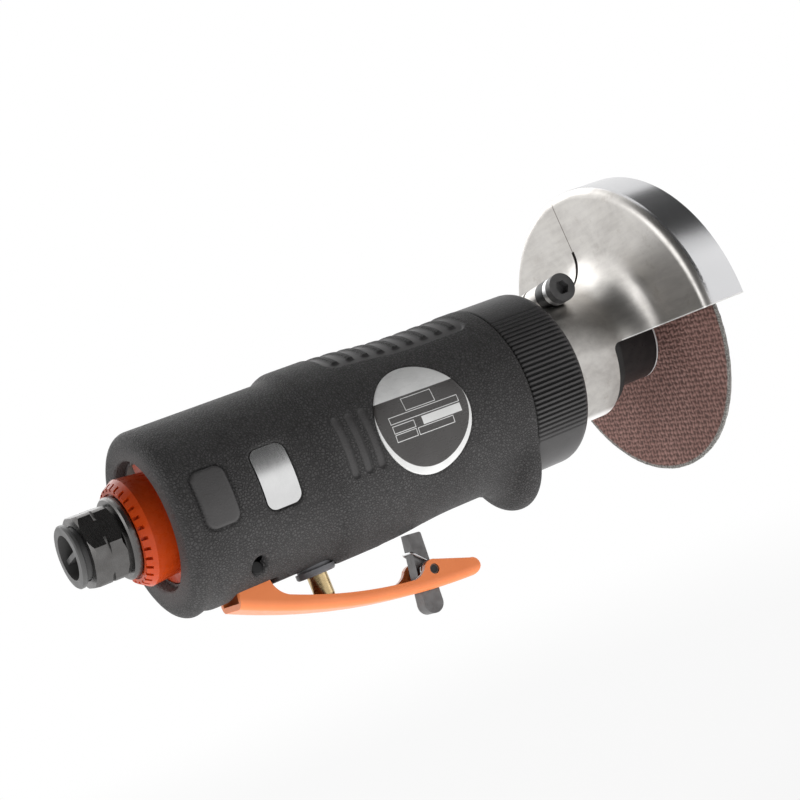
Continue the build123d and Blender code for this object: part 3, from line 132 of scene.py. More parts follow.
class Graph:
    """Node tree with short calls for the nodes that the finishes and the stage share."""

    def __init__(self, tree: bpy.types.NodeTree) -> None:
        """Takes the node tree that the calls add to."""
        self.tree = tree

    def add(self, kind: str, inputs: Inputs, output: Union[int, str] = 0, **settings: object) -> Wire:
        """Adds a node.

        Args:
            kind: Its Blender type, without the words in front.
            inputs: Wires and plain values for its inputs, by name or number.
            output: The output that is used, by name or number.
            settings: Properties to set on it first.

        Returns:
            The wire from that output.
        """
        node = self.tree.nodes.new("ShaderNode" + kind)
        for key, value in settings.items():
            setattr(node, key, value)
        self.feed(node, inputs)
        return Wire(self, node.outputs[output])

    def feed(self, node: bpy.types.Node, inputs: Inputs) -> None:
        """Links and sets a node's inputs.

        Args:
            node: The node.
            inputs: Wires and plain values, by the input's name or number.
        """
        for key, value in inputs.items():
            socket = node.inputs[key]
            if isinstance(value, Wire):
                self.tree.links.new(value.socket, socket)
            else:
                socket.default_value = (*value, 1.0) if socket.type == "RGBA" else value

    def calc(self, operation: Calc, first: Value, second: Value = 0.0) -> Wire:
        """Result of a sum of one or two values."""
        return self.add("Math", {0: first, 1: second}, operation=operation.value)

    def largest(self, *values: Value) -> Wire:
        """Largest of some values."""
        return reduce(lambda first, second: self.calc(Calc.MAXIMUM, first, second), values)

    def reach(self, first: Wire, second: Wire) -> Wire:
        """Length of the diagonal over two distances."""
        return self.calc(Calc.SQRT, first * first + second * second)

    def point(self, stretch: Sequence[float] = (1, 1, 1)) -> Wire:
        """Point in the piece's own frame in metres, stretched along X, Y and Z."""
        return self.add("Mapping", {"Vector": self.add("TexCoord", {}, "Object"), "Scale": stretch})

    def axes(self, source: str = "Object") -> tuple[Wire, ...]:
        """X, Y and Z of the point in metres, or of another coordinate of the piece."""
        place = self.add("TexCoord", {}, source)
        return tuple(self.add("SeparateXYZ", {0: place}, axis) for axis in range(3))

    def mark(self, name: str) -> Wire:
        """Value that a mesh carries on its points under a name."""
        return self.add("Attribute", {}, "Fac", attribute_name=name)

    def noise(self, size: float, detail: float = 3.0, rough: float = 0.5, stretch: Sequence[float] = (1, 1, 1),
              warp: float = 0.0) -> Wire:
        """Soft noise about 0.5, from its lumps in millimetres, its octaves and the share of the finer ones."""
        return self.add("TexNoise", {"Vector": self.point(stretch), "Scale": 1 / (size * MM), "Detail": detail,
                                     "Roughness": rough, "Distortion": warp})

    def patches(self, size: float, detail: float = 4.0, rough: float = 0.6, cut: Pair = (0.3, 0.7),
                ends: Pair = (0.0, 1.0), stretch: Sequence[float] = (1, 1, 1), warp: float = 0.0) -> Wire:
        """Noise drawn apart: the first end below the cut's low value and the second above its high one."""
        return self.span(self.noise(size, detail, rough, stretch, warp), *cut, *ends)

    def cells(self, size: float) -> Wire:
        """Distance to the edge of irregular cells of a size in millimetres, in cells."""
        inputs = {"Vector": self.point(), "Scale": 1 / (size * MM)}
        return self.add("TexVoronoi", inputs, "Distance", feature="DISTANCE_TO_EDGE")

    def span(self, value: Value, low: float, high: float, start: Value = 0.0, end: Value = 1.0,
             ramp: Ramp = Ramp.SMOOTH) -> Wire:
        """Step of a value, clamped: the start up to the low value and the end from the high one."""
        inputs = {"Value": value, "From Min": low, "From Max": high, "To Min": start, "To Max": end}
        return self.add("MapRange", inputs, "Result", interpolation_type=ramp.value)

    def mix(self, share: Value, first: Paint, second: Paint) -> Wire:
        """Mix of two colours by the share of the second."""
        return self.add("Mix", {0: share, 6: first, 7: second}, 2, data_type="RGBA")

    def blend(self, share: Value, first: Value, second: Value) -> Wire:
        """Mix of two numbers by the share of the second."""
        return self.add("Mix", {0: share, 2: first, 3: second}, data_type="FLOAT")

    def bump(self, height: Wire, depth: float, over: Optional[Wire] = None) -> Wire:
        """Normal bumped by a height of 0 to 1, with its depth in millimetres, over another normal if given."""
        ground = {} if over is None else {"Normal": over}
        return self.add("Bump", {"Strength": 1.0, "Distance": depth * MM, "Height": height, **ground}, "Normal")


@dataclass(frozen=True)
class Finish:
    """A procedural finish. The base one is a plain moulded or cast surface with fine marks.

    Attributes:
        name: The material's name.
        slot: The record's slot that it stands for.
        colour: Its main colour.
        second: The colour that it drifts to.
        roughness: Its mean roughness.
        lump: Size of its fine lumps in millimetres.
        depth: Their depth in millimetres.
    """

    name: str
    slot: str
    colour: Colour
    second: Colour
    roughness: float
    lump: float = 0.6
    depth: float = 0.01

    def build(self) -> bpy.types.Material:
        """Makes the material.

        Returns:
            The new material.
        """
        material = bpy.data.materials.new(self.name)
        material.use_nodes = True
        graph = Graph(material.node_tree)
        graph.feed(material.node_tree.nodes["Principled BSDF"], self.look(graph))
        return material

    def tone(self, graph: Graph, size: float, detail: float = 4.0, rough: float = 0.6,
             cut: Pair = (0.3, 0.7)) -> Wire:
        """Colour that drifts between the finish's two in patches."""
        return graph.mix(graph.patches(size, detail, rough, cut), self.colour, self.second)

    def rough(self, low: float, high: float) -> Pair:
        """Roughness at two shares of the mean one."""
        return self.roughness * low, self.roughness * high

    def look(self, graph: Graph) -> Inputs:
        """Nodes of the finish.

        Args:
            graph: The node tree.

        Returns:
            The shader's inputs.
        """
        return {
            "Base Color": self.tone(graph, 9.0),
            "Roughness": graph.patches(3.0, 4.0, 0.5, ends=self.rough(0.85, 1.15)),
            "Normal": graph.bump(graph.noise(self.lump, 3.0, 0.6), self.depth),
        }


@dataclass(frozen=True)
class GrainedMoulding(Finish):
    """Moulded rubbery plastic with a pebbled leather grain, smooth where its mesh says so.

    Sizes are in millimetres. The seam is half the width of the mould's parting line. The near-black is painted
    shade in the grain's grooves and where the mesh's shade mark lies, and there it also gives the ribs a darker tone.
    """

    pebble: float = 0.74
    groove: float = 0.18
    groove_painted_shade: float = 0.64
    seam: float = 0.12
    seam_depth: float = 0.10
    # near-black of the painted shade in the grain's grooves and under the mesh's shade mark, and of the ribs' darker
    # tone
    dark: Colour = (0.004, 0.004, 0.004)
    ripple: float = 0.06

    def look(self, graph: Graph) -> Inputs:
        """Nodes of the finish.

        Args:
            graph: The node tree.

        Returns:
            The shader's inputs.
        """
        grain = graph.mark("grain")
        crown = graph.span(graph.cells(self.pebble), 0.0, 0.32)
        small = graph.span(graph.cells(self.pebble * 0.55), 0.0, 0.3)
        height = crown * 0.7 + small * 0.3
        skin = self.tone(graph, 14.0)
        # painted shade: the grain's grooves darken towards the near-black, while its crowns keep the skin colour
        groove = graph.mix(grain * self.groove_painted_shade, skin, self.dark)
        pebbled = graph.mix(graph.blend(grain, 1.0, height), groove, skin)
        rough = graph.blend(grain, *self.rough(0.72, 1.0))
        line = graph.span(abs(graph.axes()[1]), self.seam * MM * 0.4, self.seam * MM)
        fine = graph.bump(graph.noise(0.25, 2.0), 0.006)
        return {
            # painted shade, and the ribs' darker tone, from the mesh's shade mark
            "Base Color": graph.mix(graph.mark("painted_shade_and_rib_tone"), pebbled, self.dark),
            "Roughness": graph.blend(graph.noise(2.0), rough - self.ripple, rough + self.ripple),
            "Specular IOR Level": 0.18,
            "Normal": graph.bump(height * grain, self.groove, graph.bump(line, self.seam_depth, fine)),
        }


@dataclass(frozen=True)
class GlossMoulding(Finish):
    """Glossy coloured plastic with faint flow lines round the tool's axis."""

    def look(self, graph: Graph) -> Inputs:
        """Nodes of the finish.

        Args:
            graph: The node tree.

        Returns:
            The shader's inputs.
        """
        return {
            "Base Color": self.tone(graph, 6.0),
            "Roughness": graph.patches(1.6, 4.0, 0.5, (0.35, 0.7), self.rough(0.8, 1.3)),
            "Specular IOR Level": 0.28,
            "Normal": graph.bump(graph.noise(0.5, 2.0, 0.5, (4.0, 0.25, 0.25)), self.depth),
        }


@dataclass(frozen=True)
class SatinPaint(Finish):
    """Satin paint on pressed steel, with orange peel and a few rubbed spots."""

    def look(self, graph: Graph) -> Inputs:
        """Nodes of the finish.

        Args:
            graph: The node tree.

        Returns:
            The shader's inputs.
        """
        spots = graph.patches(2.2, 6.0, 0.7, (0.66, 0.74), (0.0, 0.35))
        rubbed = tuple(min(1.0, 1.25 * part + 0.02) for part in self.colour)
        return {
            "Base Color": graph.mix(spots, self.tone(graph, 11.0, 5.0, 0.65, (0.3, 0.72)), rubbed),
            "Roughness": graph.patches(1.2, 4.0, 0.5, ends=self.rough(0.85, 1.15)),
            "Specular IOR Level": 0.5,
            "Coat Weight": 0.15,
            "Coat Roughness": 0.3,
            "Normal": graph.bump(graph.noise(self.lump, 2.0, 0.4), self.depth),
        }


@dataclass(frozen=True)
class TurnedMetal(Finish):
    """Bare metal with fine tool marks, stretched across them, that change its roughness by a share."""

    marks: Triple = (8.0, 0.5, 0.5)
    lustre: float = 0.3
    spread: float = 0.3

    def look(self, graph: Graph) -> Inputs:
        """Nodes of the finish.

        Args:
            graph: The node tree.

        Returns:
            The shader's inputs.
        """
        lines = graph.noise(0.8, 3.0, 0.6, self.marks)
        return {
            "Base Color": self.tone(graph, 5.0, 5.0),
            "Metallic": 1.0,
            "Roughness": graph.span(lines, 0.25, 0.75, *self.rough(1 - self.spread, 1 + self.spread)),
            "Anisotropic": self.lustre,
            "Normal": graph.bump(lines, self.depth),
        }


@dataclass(frozen=True)
class PressedSteel(Finish):
    """Pressed guard steel: cloudy, lightly brushed plate, a polished band and a painted highlight on its cut edges.

    Sizes are in millimetres and angles in degrees. The seam is a fine line from the slit to the rim, and the
    painted highlight, a near-white line, runs along the cut, whose plane leans about the axis.
    """

    band_x: float = 151.9
    band_rough: float = 0.22
    seam: float = 87.5
    seam_from: float = 26.5
    cut_lean: float = 1.5
    cut_from: float = 142.0
    # width of the painted highlight along the cut, in millimetres
    cut_highlight_width: float = 0.36
    smear_tone: Colour = (0.72, 0.70, 0.66)
    stain_tone: Colour = (0.40, 0.37, 0.34)
    seam_tone: Colour = (0.06, 0.045, 0.035)
    band_tone: Colour = (0.66, 0.66, 0.67)
    # near-white of the painted highlight on the cut edges
    cut_highlight_tone: Colour = (0.92, 0.91, 0.89)

    def look(self, graph: Graph) -> Inputs:
        """Nodes of the finish.

        Args:
            graph: The node tree.

        Returns:
            The shader's inputs.
        """
        rim = graph.span(graph.axes()[0], self.band_x * MM, (self.band_x + 0.8) * MM)
        cloud = graph.patches(13.0, 6.0, 0.62, (0.28, 0.72), warp=0.6)
        smear = graph.patches(2.4, 5.0, stretch=(1.0, 0.25, 1.6))
        stain = graph.patches(4.0, 7.0, 0.7, (0.56, 0.72), (0.0, 0.5))
        plate = graph.mix(cloud, self.colour, self.second)
        plate = graph.mix(smear * 0.35, plate, self.smear_tone)
        plate = graph.mix(stain, plate, self.stain_tone)
        plate = graph.mix(self.seam_share(graph) * (1.0 - rim), plate, self.seam_tone)
        # painted highlight: the cut faces that look down are painted near-white and less metallic
        edge = graph.span(graph.axes("Normal")[2], -0.98, -0.90, 1.0, 0.0)
        bare = graph.largest(edge, self.cut_highlight_share(graph))
        brush = graph.noise(0.35, 3.0, 0.6, (1.0, 0.2, 2.0))
        return {
            "Base Color": graph.mix(bare, graph.mix(rim, plate, self.band_tone), self.cut_highlight_tone),
            "Metallic": 1.0 - bare * 0.6,
            "Roughness": graph.blend(rim, graph.blend(cloud, *self.rough(1.15, 0.85)), self.band_rough),
            "Normal": graph.bump(brush * (1.0 - rim), self.depth),
        }

    def seam_share(self, graph: Graph) -> Wire:
        """Share of the fine line from the slit outwards.

        Args:
            graph: The node tree.

        Returns:
            The share.
        """
        _, across, up = graph.axes()
        turn = math.radians(self.seam)
        off = abs(across * math.sin(turn) - up * math.cos(turn))
        line = graph.span(off, 0.10 * MM, 0.22 * MM, 0.75, 0.0)
        return line * graph.span(up, self.seam_from * MM, (self.seam_from + 0.4) * MM)

    def cut_highlight_share(self, graph: Graph) -> Wire:
        """Share of the painted highlight along the cut.

        Args:
            graph: The node tree.

        Returns:
            The share.
        """
        along, across, up = graph.axes()
        lean = math.radians(self.cut_lean)
        height = abs(up * math.cos(lean) - across * math.sin(lean))
        near = graph.span(height, self.cut_highlight_width * 0.6 * MM, self.cut_highlight_width * MM, 1.0, 0.0)
        return near * graph.span(along, (self.cut_from - 0.5) * MM, self.cut_from * MM)


@dataclass(frozen=True)
class BandedMetal(Finish):
    """Blackened steel, or metal painted near-black as shade, with one bright turned band, from and to a place along
    an axis, in millimetres.
    """

    axis: int = 0
    band: Pair = (0.0, 1.0)
    edge: float = 0.1
    polish: float = 1.0
    bright: Colour = (0.72, 0.72, 0.72)

    def look(self, graph: Graph) -> Inputs:
        """Nodes of the finish.

        Args:
            graph: The node tree.

        Returns:
            The shader's inputs.
        """
        place, (start, end) = graph.axes()[self.axis], self.band
        after = graph.span(place, start * MM, (start + self.edge) * MM)
        share = after * graph.span(place, (end - self.edge) * MM, end * MM, 1.0, 0.0)
        return {
            "Base Color": graph.mix(share, self.tone(graph, 2.5, 4.0, 0.5), self.bright),
            "Metallic": share * self.polish,
            "Roughness": graph.patches(0.5, ends=self.rough(0.8, 1.2)),
            "Normal": graph.bump(graph.noise(0.5, 4.0, 0.6), self.depth * 0.5),
        }


@dataclass(frozen=True)
class BoredPin(Finish):
    """Dark steel pin with bored ends, about a centre at X and Z, in millimetres."""

    centre: Pair = (72.2, -34.8)
    bore: float = 0.8
    bore_depth: float = 0.2
    shadow: Colour = (0.004, 0.004, 0.004)

    def look(self, graph: Graph) -> Inputs:
        """Nodes of the finish.

        Args:
            graph: The node tree.

        Returns:
            The shader's inputs.
        """
        along, _, up = graph.axes()
        off = graph.reach(along - self.centre[0] * MM, up - self.centre[1] * MM)
        rim = graph.span(off, self.bore * MM, (self.bore + 0.12) * MM)
        return {
            "Base Color": graph.mix(rim, self.shadow, self.tone(graph, 0.6)),
            "Metallic": rim * 0.8,
            "Roughness": graph.patches(0.6, ends=self.rough(0.8, 1.2)),
            "Normal": graph.bump(rim, self.bore_depth),
        }


@dataclass(frozen=True)
class WovenAbrasive(Finish):
    """Resin-bonded abrasive over a woven glass mesh, dark where it is sunk, with a bare worn edge."""

    edge_r: float = 36.3
    sunk: float = 0.36
    spark_tone: Colour = (0.33, 0.24, 0.20)
    worn_tones: tuple[Colour, Colour] = ((0.09, 0.085, 0.08), (0.34, 0.33, 0.31))

    def look(self, graph: Graph) -> Inputs:
        """Nodes of the finish.

        Args:
            graph: The node tree.

        Returns:
            The shader's inputs.
        """
        _, across, up = graph.axes()
        edge = graph.span(graph.reach(across, up), self.edge_r * MM, (self.edge_r + 0.5) * MM)
        between = tuple(part * self.sunk for part in self.colour)
        raised = graph.mix(graph.mark("thread"), between, self.tone(graph, 10.0, 5.0))
        grit = graph.noise(0.28, 2.0, 0.6)
        body = graph.mix(graph.span(grit, 0.62, 0.72) * 0.5, raised, self.spark_tone)
        worn = graph.mix(graph.span(grit, 0.4, 0.6), *self.worn_tones)
        return {
            "Base Color": graph.mix(edge, body, worn),
            "Roughness": graph.span(grit, 0.35, 0.7, 0.82, self.roughness),
            "Specular IOR Level": 0.35,
            "Normal": graph.bump(grit, self.depth),
        }


@dataclass(frozen=True)
class PrintedFoil(Finish):
    """Foil plate with a bare printed layout: a pale cap, a dark field with empty boxes and a pale foot.

    Sizes are in millimetres about a centre at X and Z. A box is its centre and its half-sizes.
    """

    centre: Pair = (76.0, -0.45)
    tilt: float = -1.0
    radius: float = 13.1
    cap: float = 6.5
    foot_rise: float = 1.4
    pale: tuple[Colour, Colour] = ((0.80, 0.80, 0.79), (0.88, 0.88, 0.87))
    empty: tuple[Box, ...] = ((0.2, 4.45, 4.3, 1.48), (0.55, 1.7, 9.95, 0.8), (-6.25, -0.53, 3.05, 0.84),
                              (-6.28, -2.62, 2.97, 0.84), (2.43, -2.68, 5.17, 0.83))
    blank: Box = (4.83, -0.51, 5.67, 1.0)

    def look(self, graph: Graph) -> Inputs:
        """Nodes of the finish.

        Args:
            graph: The node tree.

        Returns:
            The shader's inputs.
        """
        along, _, up = graph.axes()
        left, high = along * (1 / MM) - self.centre[0], up * (1 / MM) - self.centre[1]
        turn_cos, turn_sin = math.cos(math.radians(self.tilt)), math.sin(math.radians(self.tilt))
        u, v = left * turn_cos + high * turn_sin, high * turn_cos - left * turn_sin
        cap = graph.span(v, self.cap, self.cap + 0.12)
        foot = graph.span(graph.reach(u, v - self.foot_rise), self.radius - 0.42, self.radius - 0.30)
        lines = [graph.span(abs(self.box_gap(graph, u, v, box)), 0.05, 0.12, 1.0, 0.0) for box in self.empty]
        blank = graph.span(self.box_gap(graph, u, v, self.blank), -0.04, 0.04, 1.0, 0.0)
        pale = graph.mix(graph.patches(5.0, 3.0, 0.5), *self.pale)
        ink = graph.largest(cap, foot, *lines, blank)
        return {
            "Base Color": graph.mix(ink, self.tone(graph, 7.0, 3.0, 0.5), pale),
            "Roughness": graph.patches(1.5, 5.0, 0.65, (0.35, 0.7), self.rough(0.8, 1.3), (0.4, 1.0, 1.0)),
            "Coat Weight": 0.4,
            "Coat Roughness": 0.2,
            "Normal": graph.bump(graph.noise(self.lump, 2.0), self.depth * 0.2),
        }

    def box_gap(self, graph: Graph, u: Wire, v: Wire, box: Box) -> Wire:
        """Distance to a box from places along and up the print, negative inside."""
        place_u, place_v, half_u, half_v = box
        return graph.largest(abs(u - place_u) - half_u, abs(v - place_v) - half_v)


GRIP_SKIN = GrainedMoulding("grip_skin", "grip_black", (0.086, 0.083, 0.083), (0.104, 0.101, 0.101), 0.56)
COLLAR_SKIN = GrainedMoulding("collar_skin", "collar_black", (0.066, 0.064, 0.064), (0.080, 0.078, 0.078), 0.42,
                              pebble=0.8, groove=0.05, seam=0.0001)
RING_PLASTIC = GlossMoulding("ring_plastic", "deflector_red", (0.48, 0.047, 0.004), (0.56, 0.060, 0.006), 0.30)
LEVER_PAINT = SatinPaint("lever_paint", "lever_orange", (0.83, 0.215, 0.054), (0.87, 0.240, 0.066), 0.34, lump=0.5)
BLACK_STEEL = Finish("black_steel_finish", "black_steel", (0.012, 0.012, 0.013), (0.020, 0.020, 0.021), 0.30)
BLACK_NICKEL = TurnedMetal("black_nickel", "black_steel", (0.130, 0.126, 0.123), (0.170, 0.166, 0.163), 0.28,
                           depth=0.0015, lustre=0.0, spread=0.12)
HEAD_STEEL = BandedMetal("head_steel", "black_steel", (0.066, 0.064, 0.064), (0.090, 0.088, 0.088), 0.42,
                         axis=1, band=(-11.05, -9.3))
# the light band on the flange's front rim is a turned rim, painted mostly not metallic, so it is also a painted
# highlight line
FLANGE_STEEL_AND_HIGHLIGHT = BandedMetal("flange_steel_and_highlight", "black_steel", (0.012, 0.012, 0.013), (0.020, 0.019, 0.019), 0.34,
                           band=(155.9, 156.9), polish=0.2)
# painted shade: the aluminium nose is near-black outside its bright middle band, where it is seen inside the collar
# and the guard's neck
NOSE_METAL_PAINTED_SHADE = BandedMetal("nose_metal_painted_shade", "aluminium", (0.010, 0.010, 0.010), (0.016, 0.016, 0.016), 0.4,
                         band=(100.0, 138.7))
PLUG_PLASTIC = Finish("plug_plastic", "plug_grey", (0.080, 0.079, 0.078), (0.100, 0.099, 0.098), 0.40)
GUARD_PLATE = PressedSteel("guard_plate", "guard_steel", (0.46, 0.44, 0.42), (0.60, 0.58, 0.555), 0.36, depth=0.012)
GROUND_STEEL = TurnedMetal("ground_steel", "steel", (0.50, 0.50, 0.51), (0.60, 0.60, 0.61), 0.28)
# painted shade: the steel lever pin is near-black so that the hinge hole looks dark
PIN_PAINTED_SHADE = Finish("pin_painted_shade", "steel", (0.006, 0.006, 0.006), (0.010, 0.010, 0.010), 0.6)
PIN_STEEL = BoredPin("pin_steel", "steel", (0.10, 0.075, 0.065), (0.14, 0.11, 0.095), 0.35)
LATCH_PLATE = TurnedMetal("latch_plate", "latch_steel", (0.150, 0.145, 0.145), (0.200, 0.195, 0.195), 0.42,
                          marks=(0.6, 6.0, 0.6))
SPRING_WIRE = TurnedMetal("spring_wire", "spring_steel", (0.62, 0.62, 0.63), (0.74, 0.74, 0.75), 0.20)
STEM_BRASS = TurnedMetal("stem_brass", "brass", (0.52, 0.38, 0.19), (0.62, 0.48, 0.27), 0.26, marks=(0.5, 0.5, 9.0))
CAST_ALUMINIUM = TurnedMetal("cast_aluminium", "aluminium", (0.72, 0.72, 0.72), (0.76, 0.76, 0.76), 0.24,
                             marks=(2.0, 1.0, 0.4), depth=0.0008, lustre=0.0, spread=0.1)
VALVE_MOULDING = Finish("valve_moulding", "valve_grey", (0.16, 0.16, 0.17), (0.22, 0.22, 0.23), 0.45)
SEAL_RUBBER = Finish("seal_rubber_finish", "seal_rubber", (0.015, 0.015, 0.015), (0.025, 0.025, 0.025), 0.7)
MUFFLER_FELT = Finish("muffler_felt_finish", "muffler_felt", (0.22, 0.20, 0.18), (0.33, 0.31, 0.28), 0.9,
                      lump=0.5, depth=0.15)
VANE_BOARD = Finish("vane_board", "vane_brown", (0.22, 0.12, 0.05), (0.28, 0.16, 0.08), 0.55)
LABEL_FOIL = PrintedFoil("label_foil_print", "label_foil", (0.040, 0.036, 0.034), (0.052, 0.048, 0.046), 0.30)
DISC_ABRASIVE = WovenAbrasive("disc_abrasive", "abrasive", (0.255, 0.135, 0.115), (0.320, 0.180, 0.155), 0.75,
                              depth=0.06)
# painted shade: the guard's bush is near-black where the clamp lug lies in shade
BUSH_PAINTED_SHADE = Finish("bush_painted_shade", "black_steel", (0.006, 0.006, 0.006), (0.010, 0.010, 0.010), 0.45)


@lru_cache(maxsize=None)
def material_of(finish: Finish) -> bpy.types.Material:
    """Material of a finish, made once."""
    return finish.build()


def add_piece(name: str, points: Grid, faces: Grid, body: Optional[str], finish: Finish,
              stands_for: str, marks: Optional[dict[str, Grid]] = None) -> bpy.types.Object:
    """Adds a mesh that stands for a CAD node.

    Args:
        name: The piece's name.
        points: Its points in millimetres.
        faces: Its faces as rows of point numbers.
        body: The CAD body that it rides on, or None where it rides on none.
        finish: Its finish.
        stands_for: The CAD node that it replaces.
        marks: Values on the points, by name.

    Returns:
        The new object.
    """
    mesh = bpy.data.meshes.new(name)
    mesh.from_pydata((points * MM).tolist(), [], faces.tolist())
    for key, values in (marks or {}).items():
        attribute = mesh.attributes.new(key, "FLOAT", "POINT")
        attribute.data.foreach_set("value", values.astype(np.float32).ravel())
    mesh.polygons.foreach_set("use_smooth", [True] * len(mesh.polygons))
    mesh.materials.append(material_of(finish))
    mesh.validate()
    piece = bpy.data.objects.new(name, mesh)
    bpy.context.scene.collection.objects.link(piece)
    if body is not None:
        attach(piece, body)
    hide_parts(stands_for)
    LOG.info("%s: %d points, %s", name, len(points), finish.name)
    return piece


def wrap_faces(rows: int, columns: int, hole: Optional[Grid] = None) -> Grid:
    """Quads of a grid that closes on itself round the tool.

    Args:
        rows: Rows along the profile.
        columns: Columns round the axis.
        hole: True on the points inside an opening.

    Returns:
        The faces, facing outwards where rows run towards +X.
    """
    row, column = np.meshgrid(np.arange(rows - 1), np.arange(columns), indexing="ij")
    after = (column + 1) % columns
    quads = np.stack([row * columns + column, row * columns + after, (row + 1) * columns + after,
                      (row + 1) * columns + column], axis=-1).reshape(-1, 4)
    if hole is not None:
        quads = quads[~hole.ravel()[quads].all(axis=1)]
    return quads


def round_angles(columns: int) -> Grid:
    """Angles of equal columns round a full turn."""
    return np.linspace(0, 2 * math.pi, columns, endpoint=False)


def turned(x: Union[float, Grid], radius: Union[float, Grid], angle: Grid, drop: float = 0.0) -> Grid:
    """Points at stations, radii and angles about an axis along X that lies a drop below the tool's own."""
    return np.stack([np.broadcast_to(x, angle.shape), radius * np.cos(angle), radius * np.sin(angle) - drop], axis=-1)


def smooth(value: Grid, low: float, high: float) -> Grid:
    """Smooth step from 0 at low to 1 at high."""
    share = np.clip((value - low) / (high - low), 0, 1)
    return share * share * (3 - 2 * share)


def ridge(value: Grid, centre: float, width: float) -> Grid:
    """Soft ridge of height 1 at a centre value."""
    return np.exp(-((value - centre) / width) ** 2)


def edge_fall(past: Grid, edge: float) -> Grid:
    """How far a rounded edge falls away, from the distances past its start."""
    return edge - np.sqrt(edge ** 2 - np.clip(past, 0, edge) ** 2)


def arc_step(x: Grid, start: Pair, end: Pair, share: float = 0.5) -> Grid:
    """Level step made of two tangent arcs, as on the CAD profile.

    Args:
        x: Stations.
        start: Station and height where it begins.
        end: Station and height where it ends.
        share: Where the arcs meet, as a share of the step.

    Returns:
        The heights, level before and after the step.
    """
    length, rise = end[0] - start[0], end[1] - start[1]
    both = (length ** 2 + rise ** 2) / (2 * abs(rise))
    first, second = share * both, (1 - share) * both
    near = np.clip(x - start[0], 0, share * length)
    far = np.clip(end[0] - x, 0, (1 - share) * length)
    low = first - np.sqrt(first ** 2 - near ** 2)
    high = abs(rise) - second + np.sqrt(second ** 2 - far ** 2)
    return start[1] + math.copysign(1, rise) * np.where(x < start[0] + share * length, low, high)


@dataclass(frozen=True)
class Outline:
    """Rectangle with round corners on one side of the grip, about a station and a height or place across.

    A circle is one that is all corner.
    """

    x: float
    v: float
    length: float
    height: float
    corner: float

    def gap(self, x: Grid, v: Grid) -> Grid:
        """Distance to the outline, negative inside.

        Args:
            x: Stations.
            v: Heights, or places across the tool.

        Returns:
            The distances.
        """
        out_x = np.abs(x - self.x) - self.length / 2 + self.corner
        out_v = np.abs(v - self.v) - self.height / 2 + self.corner
        outside = np.hypot(np.maximum(out_x, 0), np.maximum(out_v, 0))
        return outside + np.minimum(np.maximum(out_x, out_v), 0) - self.corner


@dataclass(frozen=True)
class Mark:
    """Raised or sunk mark inside an outline, with a soft edge and a moat round it.

    The grain is the share of it that stays inside. A place is where a ridge is and how wide, and an edge is where
    it begins and ends, both as distances from the outline. Its shade is painted shade, a dark band at its place.
    """

    outline: Outline
    rise: float
    edge: Pair
    moat: float = 0.0
    grain: float = 1.0
    grain_edge: Pair = (-0.4, 0.3)
    # painted shade: share of near-black in a band at the mark's edge
    painted_shade_and_rib_tone: float = 0.0
    painted_shade_place: Pair = (0.25, 0.25)


